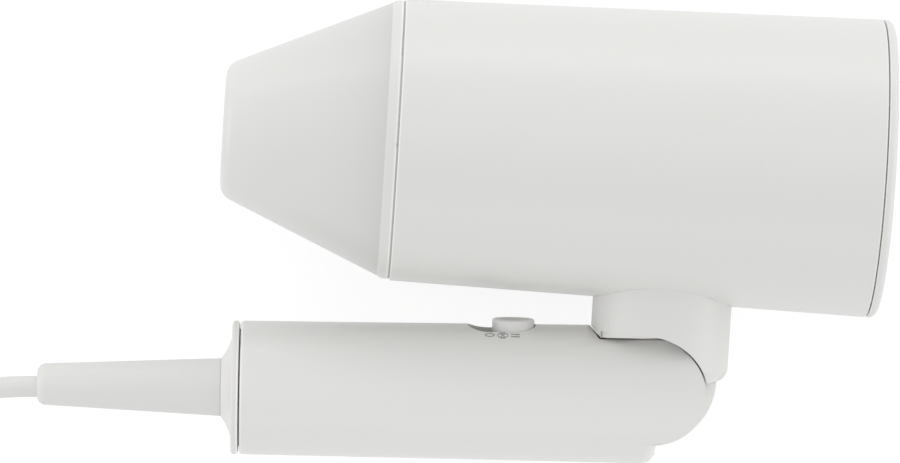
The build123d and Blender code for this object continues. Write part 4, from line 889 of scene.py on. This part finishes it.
def markPaths():
    # every mark as open or closed lines in (along, round) from its middle
    turn = np.linspace(0, 2 * np.pi, marks["ringSteps"])
    circle = np.stack([np.cos(turn), np.sin(turn)], axis=1)
    paths = [(0, circle * marks["ring"])]
    for sign in (1, -1):
        paths.append((1, circle * marks["fanRing"] + (0, sign * marks["fanApart"])))
        paths.append((2, np.array([(-marks["bar"], 0), (marks["bar"], 0)]) + (0, sign * marks["barApart"])))
    # four bowed sides of a diamond, each open at its ends: a chord between two corners, pushed out
    # by a half sine
    share = np.linspace(marks["fanOpen"] / 2, 1 - marks["fanOpen"] / 2, marks["bowSteps"])[:, None]
    for quarter in range(4):
        ends = [k * math.pi / 2 for k in (quarter, quarter + 1)]
        a, b = [np.array((math.cos(end), math.sin(end))) for end in ends]
        chord = a + (b - a) * share
        bowed = chord * (1 + marks["fanBow"] * np.sin(np.pi * share))
        paths.append((1, bowed * marks["fanArc"]))
    return paths


def ribbonOnTube(path, which, closed):
    # point(i, c) = the path moved half a line's width to each side, laid on the tube by turning the
    # round distance into an angle, at two heights: a flat band with a rectangular section
    if closed:
        before, after = np.roll(path, 1, axis=0), np.roll(path, -1, axis=0)
    else:
        before, after = np.vstack([path[:1], path[:-1]]), np.vstack([path[1:], path[-1:]])
    run = after - before
    run = run / np.linalg.norm(run, axis=1, keepdims=True)
    across = np.stack([-run[:, 1], run[:, 0]], axis=1) * marks["line"][which] / 2
    over, under = marks["lift"], -marks["depth"]
    corners = []
    for sign, height in ((1, over), (-1, over), (-1, under), (1, under)):
        place = path + sign * across
        far = marks["along"][which] + place[:, 0]
        radius = tubeRadius(far) + height
        angle = math.radians(marks["turned"][which]) - place[:, 1] / tubeRadius(far)
        corners.append(
            np.array(tubeMiddle) + np.outer(far, handleAlong) + np.outer(radius * np.cos(angle), handleUp)
            + np.outer(radius * np.sin(angle), upward)
        )
    return np.stack(corners, axis=1)


def makeMarks():
    points, faces, count = [], [], 0
    for which, path in markPaths():
        closed = np.allclose(path[0], path[-1])
        grid = ribbonOnTube(path[:-1] if closed else path, which, closed)
        points.append(grid.reshape(-1, 3))
        faces.append(ringFaces(len(grid), 4, closed) + count)
        count += len(points[-1])
    piece = meshObject("switchMarks", np.vstack(points), np.vstack(faces))
    pointOutwards(piece)
    finishPiece(piece, "handle", finishes["markInk"])


makeMarks()
print("seam ring and switch marks made")

# nodes that stay as the frame has them, with a finish of their own
plainNodes = {
    "neck_screws": "zincSteel", "handle_screws": "zincSteel", "hinge_pin": "zincSteel",
    "pin_clip": "zincSteel", "switch_body": "darkPlastic", "switch_board": "boardGreen",
    "inner_cable": "cordRubber", "cord_clamp": "darkPlastic", "mains_wires": "wireBlue",
    "hinge_wires": "wireBlue", "neck_wires": "wireBlue", "ion_emitter": "zincSteel",
    "heater_tube": "mica", "heater_frame": "mica", "heating_coil": "heaterWire",
    "thermostat": "zincSteel", "thermal_fuse": "zincSteel", "terminal_block": "innerPlastic",
    "ionizer_module": "darkPlastic", "motor_housing": "innerPlastic", "motor_gaskets": "blackRubber",
    "motor": "zincSteel", "motor_shaft": "zincSteel", "intake_filter": "filterMesh",
}
for node, finish in plainNodes.items():
    mesh = frame["nodes"][node].data
    mesh.materials.clear()
    mesh.materials.append(finishes[finish])
print("inner nodes finished:", len(plainNodes))

# floor, lamps and surroundings
studio = dict(
    floorHalf=6.0,
    floorGlow=0.80, floorShade=0.30,            # as it is seen
    floorPlain=0.74,                            # as it lights the dryer
    sky=0.985,
    lamps=[
        # name, place, aimed at, width, height, watts
        ("keyLamp", (0.0, 1.3, 0.30), (0, 0, 0.06), 2.4, 0.5, 5.4),
        ("fillLamp", (0.0, -1.1, 0.9), (0, 0, 0.06), 2.4, 0.5, 1.6),
        ("leftLamp", (-1.3, 0.0, 0.30), (0, 0, 0.06), 1.2, 0.5, 3.0),
        ("rightLamp", (1.3, 0.0, 0.30), (0, 0, 0.06), 1.2, 0.5, 3.3),
    ],
)


def seenDirectly(tree):
    # 1 for what the camera sees, straight, in what shines or through what is clear, and 0 for light
    ray = addNode(tree, "ShaderNodeLightPath").outputs
    some = addMath(tree, "MAXIMUM", ray["Is Camera Ray"], ray["Is Glossy Ray"])
    return addMath(tree, "MAXIMUM", some, ray["Is Transmission Ray"])


def floorMaterial():
    # a white floor with a faint shadow where it is seen, and a plain grey one where it only lights
    made = bpy.data.materials.new("studioFloor")
    made.use_nodes = True
    tree = made.node_tree
    tree.nodes.clear()
    plain, shade = [
        addNode(tree, "ShaderNodeBsdfDiffuse", {"Color": (*[studio[tone]] * 3, 1)}).outputs[0]
        for tone in ("floorPlain", "floorShade")
    ]
    glow = addNode(tree, "ShaderNodeEmission", {"Strength": studio["floorGlow"]})
    seen = addNode(tree, "ShaderNodeAddShader", {0: shade, 1: glow.outputs[0]})
    pick = addNode(tree, "ShaderNodeMixShader", {0: seenDirectly(tree), 1: plain, 2: seen.outputs[0]})
    addNode(tree, "ShaderNodeOutputMaterial", {"Surface": pick.outputs[0]})
    return made


def makeFloor():
    half = studio["floorHalf"]
    corners = np.array([(-half, -half, 0), (half, -half, 0), (half, half, 0), (-half, half, 0)])
    floor = meshObject("studioFloor", corners, np.array([[0, 1, 2, 3]]))
    floor.data.materials.append(floorMaterial())


def makeLamps():
    for name, place, target, wide, high, watts in studio["lamps"]:
        lamp = bpy.data.lights.new(name, "AREA")
        lamp.shape = "RECTANGLE"
        lamp.size, lamp.size_y = wide, high
        lamp.energy = watts
        aim = (Vector(target) - Vector(place)).to_track_quat("-Z", "Y").to_matrix().to_4x4()
        linkObject(name, lamp).matrix_world = Matrix.Translation(place) @ aim


def makeSurroundings():
    world = bpy.data.worlds.new("surroundings")
    world.use_nodes = True
    tree = world.node_tree
    tree.nodes.clear()
    level = addNode(tree, "ShaderNodeMapRange", {
        "Value": seenDirectly(tree), "To Min": studio["sky"], "To Max": 1.0,
    })
    sky = addNode(tree, "ShaderNodeBackground", {"Strength": level.outputs["Result"]})
    addNode(tree, "ShaderNodeOutputWorld", {"Surface": sky.outputs[0]})
    bpy.context.scene.world = world
    bpy.context.scene.view_settings.view_transform = "Standard"


makeFloor()
makeLamps()
makeSurroundings()
print("studio set")
